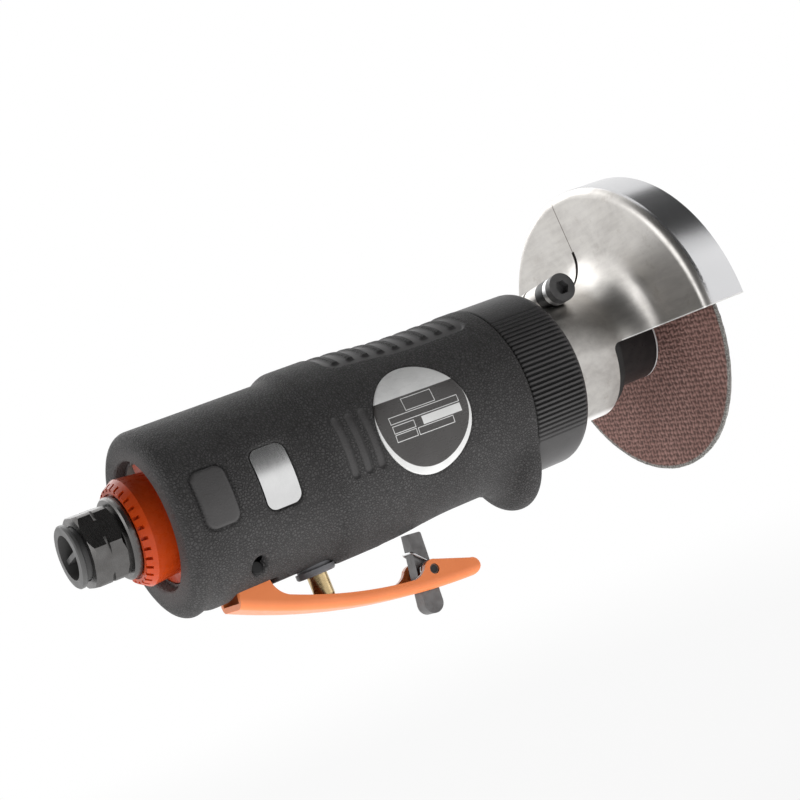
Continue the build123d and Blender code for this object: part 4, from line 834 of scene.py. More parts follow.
@dataclass
class GripSleeve:
    """Moulded grip: one skin drawn over the CAD form, with soft edges at every moulded mark."""

    rear: float = 10.8
    front: float = 107.0
    drop: float = 0.45
    lip_r: float = 15.8
    lip_depth: float = 3.3
    lip_edge: float = 0.5
    bore_r: float = 19.65
    bore_depth: float = 2.0
    bare_grain: float = 0.6
    rear_r: float = 22.7
    rear_edge: float = 3.0
    step: Pair = (47.6, 52.4)
    swell_r: float = 24.3
    taper: Pair = (62.2, 87.2)
    waist_r: float = 23.0
    front_edge: float = 1.0
    chin_drop: float = 12.85
    chin_r: float = 17.55
    chin_root_r: float = 10.55
    chin_start: float = 95.1
    chin_length: float = 9.9
    chin_share: float = 0.68
    chin_edge: float = 1.9
    chin_blend: float = 2.2
    chin_sink: float = 0.7
    chin_sink_lead: float = 2.0
    search: Pair = (12.0, 45.0)
    search_steps: int = 36
    window: Outline = Outline(36.1, 0.0, 9.6, 15.2, 2.6)
    window_wall: float = 3.3
    pivot_hole: Outline = Outline(27.4, -17.55, 4.2, 4.2, 2.1)
    pivot_wall: float = 2.4
    lever_mouth: Outline = Outline(27.9, 0.0, 11.0, 14.2, 0.8)
    lever_wall: float = 3.2
    opening_fall: float = 0.3
    opening_edge: float = 0.8
    latch_mouth: Outline = Outline(70.0, 0.0, 14.0, 7.0, 1.0)
    latch_floor: float = 22.2
    valve_seat: Outline = Outline(45.75, 0.0, 10.6, 10.6, 5.3)
    valve_floor: float = 23.65
    strip: Outline = Outline(81.8, 0.0, 40.4, 31.2, 3.0)
    strip_edge: Pair = (-0.5, 0.05)
    strip_depth: float = 0.8
    rib: Outline = Outline(0.0, 0.0, 1.9, 26.8, 0.6)
    rib_count: int = 9
    rib_pitch: float = 4.2
    rib_edge: Pair = (-0.3, 0.12)
    rib_rise: float = 0.6
    rib_dark_tone: float = 0.55
    # the pad paints a shadow line round itself, and the sunk bars paint shade along their walls
    near_marks: tuple[Mark, ...] = (
        Mark(Outline(20.5, 0.5, 8.2, 13.4, 2.2), 0.45, (-0.4, 0.1), 0.3, 0.25, (-0.4, 0.3), 0.5, (0.25, 0.25)),
        Mark(Outline(76.0, 0.0, 27.0, 27.0, 13.5), -0.4, (-0.5, 0.1)),
        *(Mark(Outline(place, 0.0, 2.2, 15.0, 1.1), -0.55, (-0.35, 0.1), 0.0, 0.3, (-0.3, 0.1), 0.35, (-0.1, 0.22))
          for place in (54.1, 57.7, 61.3)),
    )
    moat_place: Pair = (0.3, 0.3)
    crease_x: float = 16.0
    crease_width: float = 1.4
    crease_depth: float = 0.55
    crease_fade: Pair = (-0.55, 0.25)
    facing_share: float = 0.2
    snap_share: float = 0.52
    wall_share: float = 0.1
    hole_share: float = 0.6
    cell: float = 0.34
    nose_steps: int = 12
    tail_steps: int = 9
    columns: int = 440

    def body_radius(self, x: Grid) -> Grid:
        """Radius of the plain form.

        Args:
            x: Stations.

        Returns:
            The radii.
        """
        rise = arc_step(x, (self.step[0], self.rear_r), (self.step[1], self.swell_r))
        fall = arc_step(x, (self.taper[0], self.swell_r), (self.taper[1], self.waist_r))
        radius = np.where(x < self.step[1], rise, fall)
        radius -= edge_fall(self.rear + self.rear_edge - x, self.rear_edge)
        return radius - edge_fall(x - self.front + self.front_edge, self.front_edge)

    def chin_radius(self, x: Grid) -> Grid:
        """Radius of the finger stop about its own lower axis, sinking away behind it.

        Args:
            x: Stations.

        Returns:
            The radii.
        """
        end = (self.chin_start + self.chin_length, self.chin_r)
        radius = arc_step(x, (self.chin_start, self.chin_root_r), end, self.chin_share)
        radius -= edge_fall(x - self.front + self.chin_edge, self.chin_edge)
        return radius - self.chin_sink * np.clip(self.chin_start + self.chin_sink_lead - x, 0, None)

    def skin_radius(self, x: Grid, angle: Grid) -> Grid:
        """Radius of the form with the finger stop blended into it.

        Args:
            x: Stations.
            angle: Angles from +Y towards +Z.

        Returns:
            Distances from the grip's axis.
        """
        body, chin = self.body_radius(x), self.chin_radius(x)
        depth = self.chin_drop - self.drop
        low, high = np.full(x.shape, self.search[0]), np.full(x.shape, self.search[1])
        for _ in range(self.search_steps):
            reach = (low + high) / 2
            to_body = reach - body
            to_chin = np.hypot(reach * np.cos(angle), reach * np.sin(angle) + depth) - chin
            near = np.clip(0.5 + 0.5 * (to_chin - to_body) / self.chin_blend, 0, 1)
            gap = to_chin * (1 - near) + to_body * near - self.chin_blend * near * (1 - near)
            low, high = np.where(gap < 0, reach, low), np.where(gap < 0, high, reach)
        return (low + high) / 2

    def flat(self, angle: Grid, radius: Grid, side: Side) -> Grid:
        """Second coordinate of an outline drawn on a side: height, or place across the tool."""
        return radius * (np.sin(angle) if side in (Side.NEAR, Side.FAR) else np.cos(angle))

    def faces_side(self, angle: Grid, side: Side) -> Grid:
        """True where the skin faces a side."""
        across, up = side.value
        return across * np.cos(angle) + up * np.sin(angle) > self.facing_share

    def snap(self, x: Grid, angle: Grid, side: Side, outline: Outline) -> tuple[Grid, Grid]:
        """Moves the grid points nearest to an outline onto it, so that its edge is clean.

        Args:
            x: Stations of the grid.
            angle: Angles of the grid.
            side: The side that the outline is drawn on.
            outline: The outline.

        Returns:
            The new stations and angles.
        """
        radius = self.skin_radius(x, angle)
        v = self.flat(angle, radius, side)
        gap, tiny = outline.gap(x, v), 0.01
        slope_x = (outline.gap(x + tiny, v) - outline.gap(x - tiny, v)) / (2 * tiny)
        slope_v = (outline.gap(x, v + tiny) - outline.gap(x, v - tiny)) / (2 * tiny)
        near = (np.abs(gap) < self.snap_share * self.cell) & self.faces_side(angle, side)
        share = np.clip((v - gap * slope_v) / radius, -1, 1)
        moved = {
            Side.NEAR: math.pi - np.arcsin(share), Side.FAR: np.arcsin(share),
            Side.UNDER: 2 * math.pi - np.arccos(share), Side.TOP: np.arccos(share),
        }[side]
        moved = angle + (moved - angle + math.pi) % (2 * math.pi) - math.pi
        return np.where(near, x - gap * slope_x, x), np.where(near, moved, angle)

    def build(self) -> None:
        """Makes the skin."""
        quarter = math.pi / 2
        tail = self.front - self.chin_edge * (1 - np.sin(np.linspace(0, quarter, self.tail_steps)))
        nose = self.rear + self.rear_edge * (1 - np.cos(np.linspace(0, quarter, self.nose_steps)))
        middle = np.linspace(nose[-1], tail[0], int((tail[0] - nose[-1]) / self.cell))[1:-1]
        around = round_angles(self.columns)
        x, angle = np.meshgrid(np.concatenate([nose, middle, tail]), around, indexing="ij")
        for side, outline in ((Side.NEAR, self.window), (Side.NEAR, self.pivot_hole), (Side.FAR, self.pivot_hole),
                              (Side.UNDER, self.lever_mouth), (Side.UNDER, self.latch_mouth)):
            x, angle = self.snap(x, angle, side, outline)
        form = self.skin_radius(x, angle)
        height, grain, painted_shade_and_rib_tone = self.marks(x, angle, form)
        radius, hole = self.openings(x, angle, form, height)
        before = [turned(self.rear + self.lip_depth, self.lip_r, around),
                  turned(self.rear + self.lip_edge, self.lip_r, around),
                  turned(self.rear, self.lip_r + self.lip_edge, around)]
        after = [turned(self.front, self.bore_r, around), turned(self.front - self.bore_depth, self.bore_r, around)]
        closed = np.concatenate([np.stack(before), turned(x, radius, angle, self.drop), np.stack(after)])
        added = ((len(before), len(after)), (0, 0))
        faces = wrap_faces(len(closed), self.columns, np.pad(hole, added))
        add_piece("grip_skin", closed.reshape(-1, 3), faces, "housing", GRIP_SKIN, "grip_sleeve",
                  {"grain": np.pad(grain, added, constant_values=self.bare_grain), "painted_shade_and_rib_tone": np.pad(painted_shade_and_rib_tone, added)})

    def marks(self, x: Grid, angle: Grid, form: Grid) -> tuple[Grid, ...]:
        """Moulded marks on the form.

        Args:
            x: Stations of the grid.
            angle: Angles of the grid.
            form: Radius of the form there.

        Returns:
            The height that the marks add, and the shares of leather grain and of dark: painted shade round the marks
            and a darker tone on the ribs.
        """
        up, across = self.flat(angle, form, Side.NEAR), self.flat(angle, form, Side.TOP)
        near, top = self.faces_side(angle, Side.NEAR), self.faces_side(angle, Side.TOP)

        sunk = 1 - smooth(np.where(top, self.strip.gap(x, across), FAR_OFF), *self.strip_edge)
        along = x - self.strip.x
        rib = self.rib.gap((along + self.rib_pitch / 2) % self.rib_pitch - self.rib_pitch / 2, across)
        ribbed = top & (np.abs(along) < self.rib_pitch * self.rib_count / 2)
        raised = sunk * (1 - smooth(np.where(ribbed, rib, FAR_OFF), *self.rib_edge))
        height = self.rib_rise * raised - self.strip_depth * sunk
        # the ribs get a darker tone, and the same share carries the painted shade of the marks below
        grain, painted_shade_and_rib_tone = 1 - sunk + raised, self.rib_dark_tone * raised

        low_half = smooth(-np.sin(angle), *self.crease_fade)
        height -= self.crease_depth * low_half * ridge(x, self.crease_x, self.crease_width)
        for mark in self.near_marks:
            gap = np.where(near, mark.outline.gap(x, up), FAR_OFF)
            height += mark.rise * (1 - smooth(gap, *mark.edge)) - mark.moat * ridge(gap, *self.moat_place)
            grain *= smooth(gap, *mark.grain_edge) * (1 - mark.grain) + mark.grain
            # painted shade: a dark band at each mark's place, a painted shadow round the raised pad and painted shade
            # on the bars' walls
            painted_shade_and_rib_tone += mark.painted_shade_and_rib_tone * ridge(gap, *mark.painted_shade_place)
        return height, grain, painted_shade_and_rib_tone

    def openings(self, x: Grid, angle: Grid, form: Grid, height: Grid) -> tuple[Grid, Grid]:
        """Openings through the skin, with a turned-in wall, and pockets with a flat floor.

        Args:
            x: Stations of the grid.
            angle: Angles of the grid.
            form: Radius of the form there.
            height: Height that the marks add.

        Returns:
            The radius of the skin, and True inside an opening.
        """
        up, across = self.flat(angle, form, Side.NEAR), self.flat(angle, form, Side.UNDER)
        near, under = self.faces_side(angle, Side.NEAR), self.faces_side(angle, Side.UNDER)
        sides = near | self.faces_side(angle, Side.FAR)
        hole = np.zeros(x.shape, bool)
        for faced, outline, v, wall in ((near, self.window, up, self.window_wall),
                                        (sides, self.pivot_hole, up, self.pivot_wall),
                                        (under, self.lever_mouth, across, self.lever_wall)):
            gap = np.where(faced, outline.gap(x, v), FAR_OFF)
            soft = self.opening_fall * np.clip(1 - gap / self.opening_edge, 0, 1) ** 2
            height = height - np.where(gap < -self.wall_share * self.cell, wall, soft)
            hole |= gap < -self.hole_share * self.cell
        radius = form + height
        for outline, edge, floor in ((self.latch_mouth, -self.wall_share * self.cell, self.latch_floor),
                                     (self.valve_seat, 0.0, self.valve_floor)):
            level = (floor - self.drop) / np.maximum(-np.sin(angle), self.facing_share)
            radius = np.where(under & (outline.gap(x, across) < edge), np.minimum(radius, level), radius)
        return radius, hole


@dataclass
class LabelPlate:
    """Round foil plate that follows the grip and stands a little out of its recess.

    The steps of its rounded rim are a share of the rim's width and a fall each.
    """

    grip: GripSleeve
    centre_x: float = 76.0
    hub_r: float = 0.01
    radius: float = 13.1
    rim: float = 0.3
    rim_steps: tuple[Pair, ...] = ((0.6, 0.01), (0.3, 0.04), (0.08, 0.1), (0.0, 0.18))
    rise: float = 0.1
    foot: float = 0.45
    rows: int = 30
    columns: int = 160

    def build(self) -> None:
        """Makes the plate."""
        angle = round_angles(self.columns)
        shares, falls = np.array(self.rim_steps).T
        plain = np.linspace(self.hub_r, self.radius - self.rim, self.rows)
        reach = np.concatenate([plain, self.radius - self.rim * shares, [self.radius]])[:, None]
        level = np.concatenate([np.full(self.rows, self.rise), self.rise - falls, [-self.foot]])[:, None]
        x, up = self.centre_x + reach * np.cos(angle), reach * np.sin(angle)
        radius = self.grip.body_radius(x) + level
        points = np.stack([x, -np.sqrt(radius ** 2 - up ** 2), up - self.grip.drop], axis=-1)
        faces = wrap_faces(len(reach), self.columns)[:, ::-1]
        add_piece("label_plate", points.reshape(-1, 3), faces, "housing", LABEL_FOIL, "data_plate")


@dataclass
class FrontCollar:
    """Collar that clamps the nose, with fine flutes on both flanks that fade towards its top and bottom.

    The flutes' pitch is in degrees. The grain is its least share and what the top adds to it between the flutes.
    Painted shade darkens the flutes by their depth, and the whole bore inside the collar.
    """

    rear: float = 107.05
    length: float = 17.0
    drop: float = 0.45
    radius: float = 22.9
    edge: float = 3.0
    rear_edge: float = 0.5
    face_r: float = 15.05
    face_edge: float = 0.3
    face_depth: float = 2.4
    bore_r: float = 18.05
    bore_depth: float = 6.0
    flutes: int = 29
    pitch: float = 3.1
    depth: float = 0.62
    run_out: Pair = (2.0, 0.9)
    flute_edge: Pair = (0.22, 0.62)
    flute_fade: float = 0.7
    flute_painted_shade: float = 0.8
    grain: Pair = (0.15, 0.6)
    grain_fade: Pair = (0.3, 0.75)
    grain_cut: float = 0.35
    edge_steps: int = 9
    rows: int = 14
    columns: int = 1740

    def build(self) -> None:
        """Makes the collar's skin."""
        front = self.rear + self.length
        turn = np.linspace(0, math.pi / 2, self.edge_steps)
        back_x = self.rear + self.rear_edge * (1 - np.sin(turn[::-1]))
        back_r = self.radius - self.rear_edge * (1 - np.cos(turn[::-1]))
        nose_x = front - self.edge * (1 - np.sin(turn))
        nose_r = self.radius - self.edge * (1 - np.cos(turn))
        plain = np.linspace(back_x[-1], nose_x[0], self.rows)[1:-1]
        base = np.concatenate([back_r, np.full(len(plain), self.radius), nose_r])[:, None]
        around = round_angles(self.columns)
        x, angle = np.meshgrid(np.concatenate([back_x, plain, nose_x]), around, indexing="ij")
        flute = self.flute_depth(angle)
        cut = flute * (1 - smooth(x, front - self.run_out[0], front - self.run_out[1]))
        before = [turned(self.rear + self.bore_depth, self.bore_r, around), turned(self.rear, self.bore_r, around)]
        after = [turned(front, self.face_r + self.face_edge, around),
                 turned(front - self.face_edge, self.face_r, around),
                 turned(front - self.face_depth, self.face_r, around)]
        closed = np.concatenate([np.stack(before), turned(x, base - cut, angle, self.drop), np.stack(after)])
        bare = 1 - np.minimum(1, flute / (self.grain_cut * self.depth))
        grain = self.grain[0] + self.grain[1] * bare * smooth(np.sin(angle), *self.grain_fade)
        # painted shade: the rows of the bore inside the collar are fully dark
        added, ends = ((len(before), len(after)), (0, 0)), ((1.0, 0.0), (0.0, 0.0))
        # painted shade in the flutes, darker where they are deeper
        painted_shade_and_rib_tone = np.pad(self.flute_painted_shade * cut / self.depth, added, constant_values=ends)
        add_piece("collar_skin", closed.reshape(-1, 3), wrap_faces(len(closed), self.columns), "housing", COLLAR_SKIN,
                  "front_collar", {"grain": np.pad(grain, added), "painted_shade_and_rib_tone": painted_shade_and_rib_tone})

    def flute_depth(self, angle: Grid) -> Grid:
        """Depth of the flutes.

        Args:
            angle: Angles round the collar.

        Returns:
            The depths.
        """
        place = np.degrees((angle + math.pi / 2) % math.pi - math.pi / 2) / self.pitch
        half = (self.flutes - 1) / 2
        fade = np.clip(1 - self.flute_fade * (place / half) ** 4, 0, 1) * (np.abs(place) < half + 0.5)
        off = np.abs(place - np.round(place)) * 2
        return self.depth * fade * (1 - smooth(off, *self.flute_edge))


@dataclass
class CuttingDisc:
    """Thin disc with its woven glass mesh pressed through both faces and a worn edge.

    The weave's turn is in degrees. Sway and wander push warp and weft aside by two ripples each.
    """

    rear: float = 156.8
    front: float = 157.75
    radius: float = 37.5
    bore_r: float = 5.0
    pitch: float = 1.4
    relief: float = 0.20
    stray: float = 0.30
    turn: float = 9.0
    sway: tuple[Triple, Triple] = ((1.7, 1.9, 0.9), (2.3, 1.6, 1.3))
    wander: tuple[Triple, Triple] = ((1.9, 1.7, 0.8), (2.6, 2.1, 1.1))
    crossing: float = 0.3
    thread_edge: Pair = (0.35, 0.95)
    face_edge: float = 0.25
    fade_edge: float = 0.6
    fade: float = 0.4
    wear: float = 0.22
    wear_run: int = 5
    grit: float = 0.08
    rim_edge: float = 0.2
    rim_rows: int = 4
    columns: int = 900
    rows: int = 120
    seed: int = 11

    def ripple(self, first: Grid, second: Grid, pace: float, swing: float, beat: float) -> Grid:
        """Wave along the first place, pushed about by a wave along the second."""
        return np.sin(first * pace + swing * np.sin(second * beat))

    def weave(self, across: Grid, up: Grid) -> Grid:
        """Height of the threads.

        Args:
            across: Places across the disc.
            up: Places up the disc.

        Returns:
            The heights, 0 to 1.
        """
        turn = math.radians(self.turn)
        warp = across * math.cos(turn) + up * math.sin(turn)
        weft = up * math.cos(turn) - across * math.sin(turn)
        sway = self.ripple(weft, warp, *self.sway[0]) + self.ripple(warp, weft, *self.sway[1])
        wander = self.ripple(warp, weft, *self.wander[0]) + self.ripple(weft, warp, *self.wander[1])
        u = np.sin((warp + self.stray * 0.5 * sway) * math.pi / self.pitch)
        v = np.sin((weft + self.stray * 0.5 * wander) * math.pi / self.pitch)
        level, lift = 1 - self.crossing, self.crossing * u * v
        high = np.maximum(np.abs(u) * (level + lift), np.abs(v) * (level - lift))
        return smooth(high, *self.thread_edge)

    def build(self) -> None:
        """Makes the disc."""
        draw = np.random.default_rng(self.seed)
        spread = np.ones(self.wear_run) / self.wear_run
        wear = np.convolve(np.tile(draw.random(self.columns), 3), spread, "same")[self.columns:2 * self.columns]
        angle = round_angles(self.columns)
        face_radii = np.linspace(self.bore_r, self.radius - self.face_edge, self.rows)
        rows, threads = [], []
        for face, inward, radii in ((self.rear, 1.0, face_radii), (self.front, -1.0, face_radii[::-1])):
            for reach in radii:
                thread = self.weave(reach * np.cos(angle), reach * np.sin(angle))
                fade = 1.0 if reach < self.radius - self.fade_edge else self.fade
                rows.append(turned(face + inward * self.relief * (1 - thread * fade), reach, angle))
                threads.append(thread)
            if inward > 0:
                for x in np.linspace(self.rear + self.rim_edge, self.front - self.rim_edge, self.rim_rows):
                    rough = self.radius - self.wear * wear + self.grit * (draw.random(self.columns) - 0.5)
                    rows.append(turned(x, np.minimum(rough, self.radius), angle))
                    threads.append(np.ones(self.columns))
        rows.append(rows[0])
        threads.append(threads[0])
        add_piece("disc_mesh", np.concatenate(rows), wrap_faces(len(rows), self.columns), "rotor", DISC_ABRASIVE,
                  "cutting_disc", {"thread": np.concatenate(threads)})


def sweep_wire(route: Grid, wire_r: float, sides: int) -> tuple[Grid, Grid]:
    """Round wire along a route, closed at both ends.

    Args:
        route: Points of the centre line in millimetres.
        wire_r: Radius of the wire in millimetres.
        sides: Points round the wire.

    Returns:
        The points and the faces.
    """
    along = np.gradient(route, axis=0)
    along /= np.linalg.norm(along, axis=1)[:, None]
    side = np.cross(along[0], ASIDE)
    angles = round_angles(sides)
    rings = [np.repeat(route[:1], sides, 0)]
    for place, way in zip(route, along):
        side = side - way * np.dot(side, way)
        side /= np.linalg.norm(side)
        other = np.cross(way, side)
        rings.append(place + wire_r * (np.outer(np.cos(angles), side) + np.outer(np.sin(angles), other)))
    rings.append(np.repeat(route[-1:], sides, 0))
    return np.concatenate(rings), wrap_faces(len(rings), sides)[:, ::-1]


@dataclass
class LatchSpring:
    """Torsion spring of the lock-off latch: hook behind the arm, coil on the pin, foot over the lever.

    Angles are in degrees. The blend span, from a height below the pin to one above it, is not used.
    """

    pin: Pair = (72.2, -34.8)
    lean: float = 7.0
    wire_r: float = 0.28
    coil_r: float = 2.2
    hook: Triple = (-2.83, 5.2, 2.68)
    bend: float = 0.7
    far_side: float = -4.52
    tip: float = 1.6
    foot: float = 3.0
    foot_angle: float = -90.0
    blend_span: Pair = (2.6, 2.4)
    coil_steps: int = 96
    bend_steps: int = 9
    sides: int = 12

    def route(self) -> Grid:
        """Centre line of the wire.

        Returns:
            Its points, from the far tip of the hook to the foot.
        """
        lean = math.radians(self.lean)
        hook_x = self.hook[0] * math.cos(lean) + self.hook[1] * math.sin(lean)
        hook_z = self.hook[1] * math.cos(lean) - self.hook[0] * math.sin(lean)
        start = math.atan2(hook_z, hook_x) - math.acos(self.coil_r / math.hypot(hook_x, hook_z))
        turn = np.linspace(0, 1, self.coil_steps)
        angle = start - (start - math.radians(self.foot_angle) + 2 * math.pi) * turn
        side = -self.hook[2] + (self.far_side + self.hook[2]) * turn
        coil = np.stack([self.coil_r * np.cos(angle), side, self.coil_r * np.sin(angle)], axis=-1)
        hook, far = np.array([hook_x, -self.hook[2], hook_z]), np.array([hook_x, self.hook[2], hook_z])
        leg = self.bend * (coil[0] - hook) / np.linalg.norm(coil[0] - hook)
        across = np.array([0.0, self.bend, 0.0])
        corner = np.linspace(0, math.pi / 2, self.bend_steps)[:, None]
        leave, join = 1 - np.sin(corner), 1 - np.cos(corner)
        down = np.array([math.sin(angle[-1]), 0, -math.cos(angle[-1])])
        parts = [far + leg * self.tip / self.bend, far + leg * leave - across * join,
                 hook + across * leave + leg * join, coil, coil[-1] + down * self.foot]
        return np.vstack(parts) + np.array([self.pin[0], 0, self.pin[1]])

    def build(self) -> None:
        """Makes the wire."""
        points, faces = sweep_wire(self.route(), self.wire_r, self.sides)
        wire = add_piece("latch_spring_wire", points, faces, None, SPRING_WIRE, "latch_spring")
        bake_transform(wire)


@dataclass
class ValveSpring:
    """Coil spring between the valve's head and its cap, with a closed turn at each end.

    The closed pitch is in wire radii.
    """

    wire_r: float = 0.42
    slack: float = 0.03
    closed_pitch: float = 2.1
    turns: int = 6
    steps: int = 24
    sides: int = 10

    def build(self) -> None:
        """Makes the coil."""
        low, high = (np.array(corner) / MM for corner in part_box("valve_spring"))
        middle, coil_r = (low + high) / 2, (high[0] - low[0]) / 2 - self.wire_r - self.slack
        bottom, top = low[2] + self.wire_r, high[2] - self.wire_r
        closed = self.closed_pitch * self.wire_r
        ends = self.turns + 2
        turn = np.linspace(0, ends, ends * self.steps + 1)
        height = np.interp(turn, [0, 1, ends - 1, ends], [bottom, bottom + closed, top - closed, top])
        angle = 2 * math.pi * turn
        route = np.stack([middle[0] + coil_r * np.cos(angle), middle[1] + coil_r * np.sin(angle), height], axis=-1)
        points, faces = sweep_wire(route, self.wire_r, self.sides)
        coil = add_piece("valve_spring_coil", points, faces, None, SPRING_WIRE, "valve_spring")
        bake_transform(coil)


@dataclass
class Dressing:
    """CAD nodes whose shape stays, with their finishes."""

    def build(self) -> None:
        """Dresses every node that nothing replaces."""
        finishes = {
            "inlet_bushing": BLACK_NICKEL, "thread_plug": PLUG_PLASTIC, "exhaust_deflector": RING_PLASTIC,
            "muffler_ring": MUFFLER_FELT, "motor_housing": CAST_ALUMINIUM,
            "lever_pin": PIN_PAINTED_SHADE, "throttle_lever": LEVER_PAINT, "latch_pin": PIN_STEEL,
            "lock_off_latch": LATCH_PLATE, "valve_bushing": VALVE_MOULDING, "stem_seal": SEAL_RUBBER,
            "valve_stem": STEM_BRASS, "valve_cap": CAST_ALUMINIUM,
            "rear_plate": GROUND_STEEL, "rear_bearing": GROUND_STEEL, "motor_cylinder": GROUND_STEEL,
            "front_plate": GROUND_STEEL, "front_bearing": GROUND_STEEL, "rotor": GROUND_STEEL,
            "rotor_vanes": VANE_BOARD, "nose_housing": NOSE_METAL_PAINTED_SHADE, "nose_bearing": GROUND_STEEL,
            "bearing_circlip": SPRING_WIRE, "spindle": GROUND_STEEL, "inner_flange": FLANGE_STEEL_AND_HIGHLIGHT,
            "outer_flange": GROUND_STEEL, "arbor_screw": BLACK_STEEL, "wheel_guard": GUARD_PLATE,
            "guard_bush": BUSH_PAINTED_SHADE, "guard_screw": HEAD_STEEL,
        }
        for node, finish in finishes.items():
            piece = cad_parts[node]
            piece.data.materials.clear()
            piece.data.materials.append(material_of(finish))
            LOG.info("%s: %s", node, finish.name)


@dataclass(frozen=True)
class Card:
    """Dark card, in metres, that gives the metal its darker reflections. One that shades keeps soft light off too."""

    name: str
    place: Triple
    size: Pair
    shades: bool


@dataclass(frozen=True)
class SoftBox:
    """Square soft light, in metres and watts."""

    name: str
    place: Triple
    size: float
    power: float


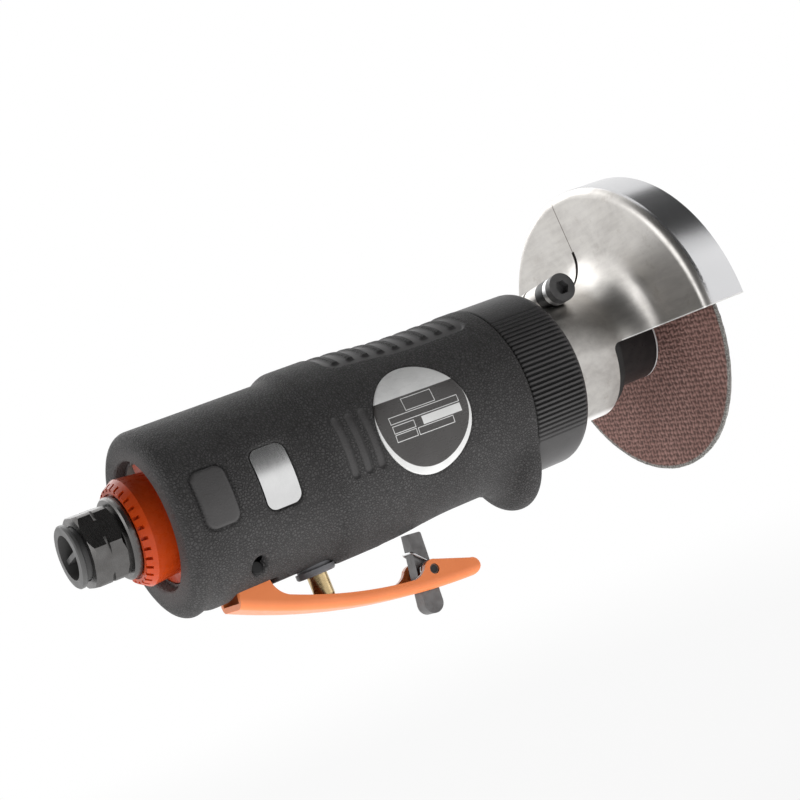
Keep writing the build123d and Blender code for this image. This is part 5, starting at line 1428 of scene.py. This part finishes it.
@dataclass
class Studio:
    """Pale floor, soft light and the camera at the photograph's view.

    Distances are in metres, and the lens and its sensor in millimetres. The floor gives off light as a table does
    and looks nearly white. Both go from the first value to the second between two distances from the origin.
    """

    floor_z: float = -0.11
    floor_reach: float = 4.0
    floor_tone: Colour = (0.92, 0.92, 0.92)
    ambient: float = 0.18
    table: Pair = (1.9, 0.4)
    table_fade: Pair = (0.20, 0.80)
    shadow: Pair = (0.88, 1.0)
    shadow_fade: Pair = (0.20, 0.75)
    shadow_least: float = 0.9
    cards: tuple[Card, ...] = (
        Card("upper_card", (-0.05, -0.58, 0.66), (1.6, 1.36), True),
        Card("camera_card", (-0.42, -0.66, 0.08), (1.0, 0.66), False),
        Card("side_card", (1.15, -0.20, 0.98), (1.1, 0.80), False),
    )
    card_tone: Colour = (0.05, 0.05, 0.05)
    card_aim: Triple = (0.1, 0.0, 0.0)
    boxes: tuple[SoftBox, ...] = (
        SoftBox("left_box", (-0.85, 0.10, 0.22), 0.8, 2.4),
        SoftBox("back_box", (0.05, 0.75, 0.75), 1.0, 4.6),
        SoftBox("right_box", (0.95, -0.30, 0.10), 0.7, 1.2),
    )
    box_aim: Triple = (0.075, 0.0, 0.0)
    place: Triple = (-0.12277, -0.38343, -0.01147)
    right: Triple = (0.8217, -0.4263, -0.3783)
    up: Triple = (0.3150, -0.2135, 0.9248)
    lens: float = 78.93
    sensor: float = 36.0
    clip: Pair = (0.01, 20.0)

    def build(self) -> None:
        """Makes the whole stage."""
        self.make_world()
        self.make_floor()
        for card in self.cards:
            self.make_card(card)
        for box in self.boxes:
            self.add_light(box)
        self.make_camera()

    def seen_share(self, graph: Graph) -> Wire:
        """1 on the rays that see the white background, camera, glossy and transmission rays, and 0 on the rest."""
        kinds = ("Camera", "Glossy", "Transmission")
        return graph.largest(*(graph.add("LightPath", {}, f"Is {kind} Ray") for kind in kinds))

    def make_world(self) -> None:
        """White where it is seen, and a soft level light on the object."""
        world = bpy.data.worlds.new("studio_world")
        bpy.context.scene.world = world
        world.use_nodes = True
        graph, nodes = Graph(world.node_tree), world.node_tree.nodes
        graph.feed(nodes["Background"], {"Color": (1, 1, 1), "Strength": 1.0})
        seen = Wire(graph, nodes["Background"].outputs[0])
        light = graph.add("Background", {"Color": (1, 1, 1), "Strength": self.ambient})
        mix = graph.add("MixShader", {0: self.seen_share(graph), 1: light, 2: seen})
        graph.feed(nodes["World Output"], {"Surface": mix})

    def make_floor(self) -> None:
        """White light-table floor that keeps a soft shadow."""
        material = bpy.data.materials.new("floor_white")
        material.use_nodes = True
        graph, nodes = Graph(material.node_tree), material.node_tree.nodes
        nodes.remove(nodes["Principled BSDF"])
        away = graph.add("VectorMath", {0: graph.add("TexCoord", {}, "Object")}, "Value", operation="LENGTH")
        table = graph.span(away, *self.table_fade, *self.table, Ramp.STRAIGHT)
        seen = self.seen_share(graph)
        white = graph.largest(seen * graph.span(away, *self.shadow_fade, *self.shadow), self.shadow_least)
        paint = graph.add("BsdfDiffuse", {"Color": self.floor_tone})
        glow = graph.add("Emission", {"Color": (1, 1, 1), "Strength": graph.blend(seen, table, 1.0)})
        mix = graph.add("MixShader", {0: white, 1: paint, 2: glow})
        graph.feed(nodes["Material Output"], {"Surface": mix})
        self.add_sheet("floor", self.floor_reach, self.floor_reach, self.floor_z, material)

    def make_card(self, card: Card) -> None:
        """Makes a dark card.

        Args:
            card: The card.
        """
        material = bpy.data.materials.new(card.name)
        material.use_nodes = True
        Graph(material.node_tree).feed(material.node_tree.nodes["Principled BSDF"], {"Base Color": self.card_tone})
        sheet = self.add_sheet(card.name, card.size[0] / 2, card.size[1] / 2, 0.0, material)
        sheet.matrix_world = self.aimed(card.place, self.card_aim, "Z")
        sheet.visible_camera = False
        sheet.visible_diffuse = card.shades
        sheet.visible_shadow = card.shades

    def add_sheet(self, name: str, half_w: float, half_h: float, z: float,
                  material: bpy.types.Material) -> bpy.types.Object:
        """Adds a flat sheet to the stage.

        Args:
            name: Its name.
            half_w: Half its width in metres.
            half_h: Half its height in metres.
            z: Its level in metres.
            material: Its material.

        Returns:
            The new object.
        """
        mesh = bpy.data.meshes.new(name)
        corners = ((-1, -1), (1, -1), (1, 1), (-1, 1))
        mesh.from_pydata([(u * half_w, v * half_h, z) for u, v in corners], [], [(0, 1, 2, 3)])
        mesh.materials.append(material)
        sheet = bpy.data.objects.new(name, mesh)
        bpy.context.scene.collection.objects.link(sheet)
        return sheet

    def aimed(self, place: Triple, target: Triple, axis: str) -> Matrix:
        """Placement of something at a place with one of its axes towards a target."""
        turn = (Vector(target) - Vector(place)).to_track_quat(axis, "Y")
        return Matrix.Translation(Vector(place)) @ turn.to_matrix().to_4x4()

    def add_light(self, box: SoftBox) -> None:
        """Adds a soft box.

        Args:
            box: The soft box.
        """
        lamp = bpy.data.lights.new(box.name, "AREA")
        lamp.shape = "SQUARE"
        lamp.size = box.size
        lamp.energy = box.power
        holder = bpy.data.objects.new(box.name, lamp)
        holder.matrix_world = self.aimed(box.place, self.box_aim, "-Z")
        bpy.context.scene.collection.objects.link(holder)

    def make_camera(self) -> None:
        """Camera at the photograph's view."""
        data = bpy.data.cameras.new("photo_camera")
        data.sensor_width = self.sensor
        data.lens = self.lens
        data.clip_start, data.clip_end = self.clip
        camera = bpy.data.objects.new("photo_camera", data)
        right, up = Vector(self.right).normalized(), Vector(self.up).normalized()
        back = right.cross(up).normalized()
        turn = Matrix((right, back.cross(right), back)).transposed()
        camera.matrix_world = Matrix.Translation(Vector(self.place)) @ turn.to_4x4()
        bpy.context.scene.collection.objects.link(camera)
        bpy.context.scene.camera = camera


def main() -> None:
    """Builds the classes in order."""
    logging.basicConfig(level=logging.INFO, format="%(name)s: %(message)s")
    bpy.context.scene.view_settings.view_transform = "Standard"
    grip = GripSleeve()
    for part in (Studio(), Dressing(), grip, LabelPlate(grip), FrontCollar(), CuttingDisc(), LatchSpring(),
                 ValveSpring()):
        part.build()
        LOG.info("%s done", type(part).__name__)


if __name__ == "__main__":
    main()
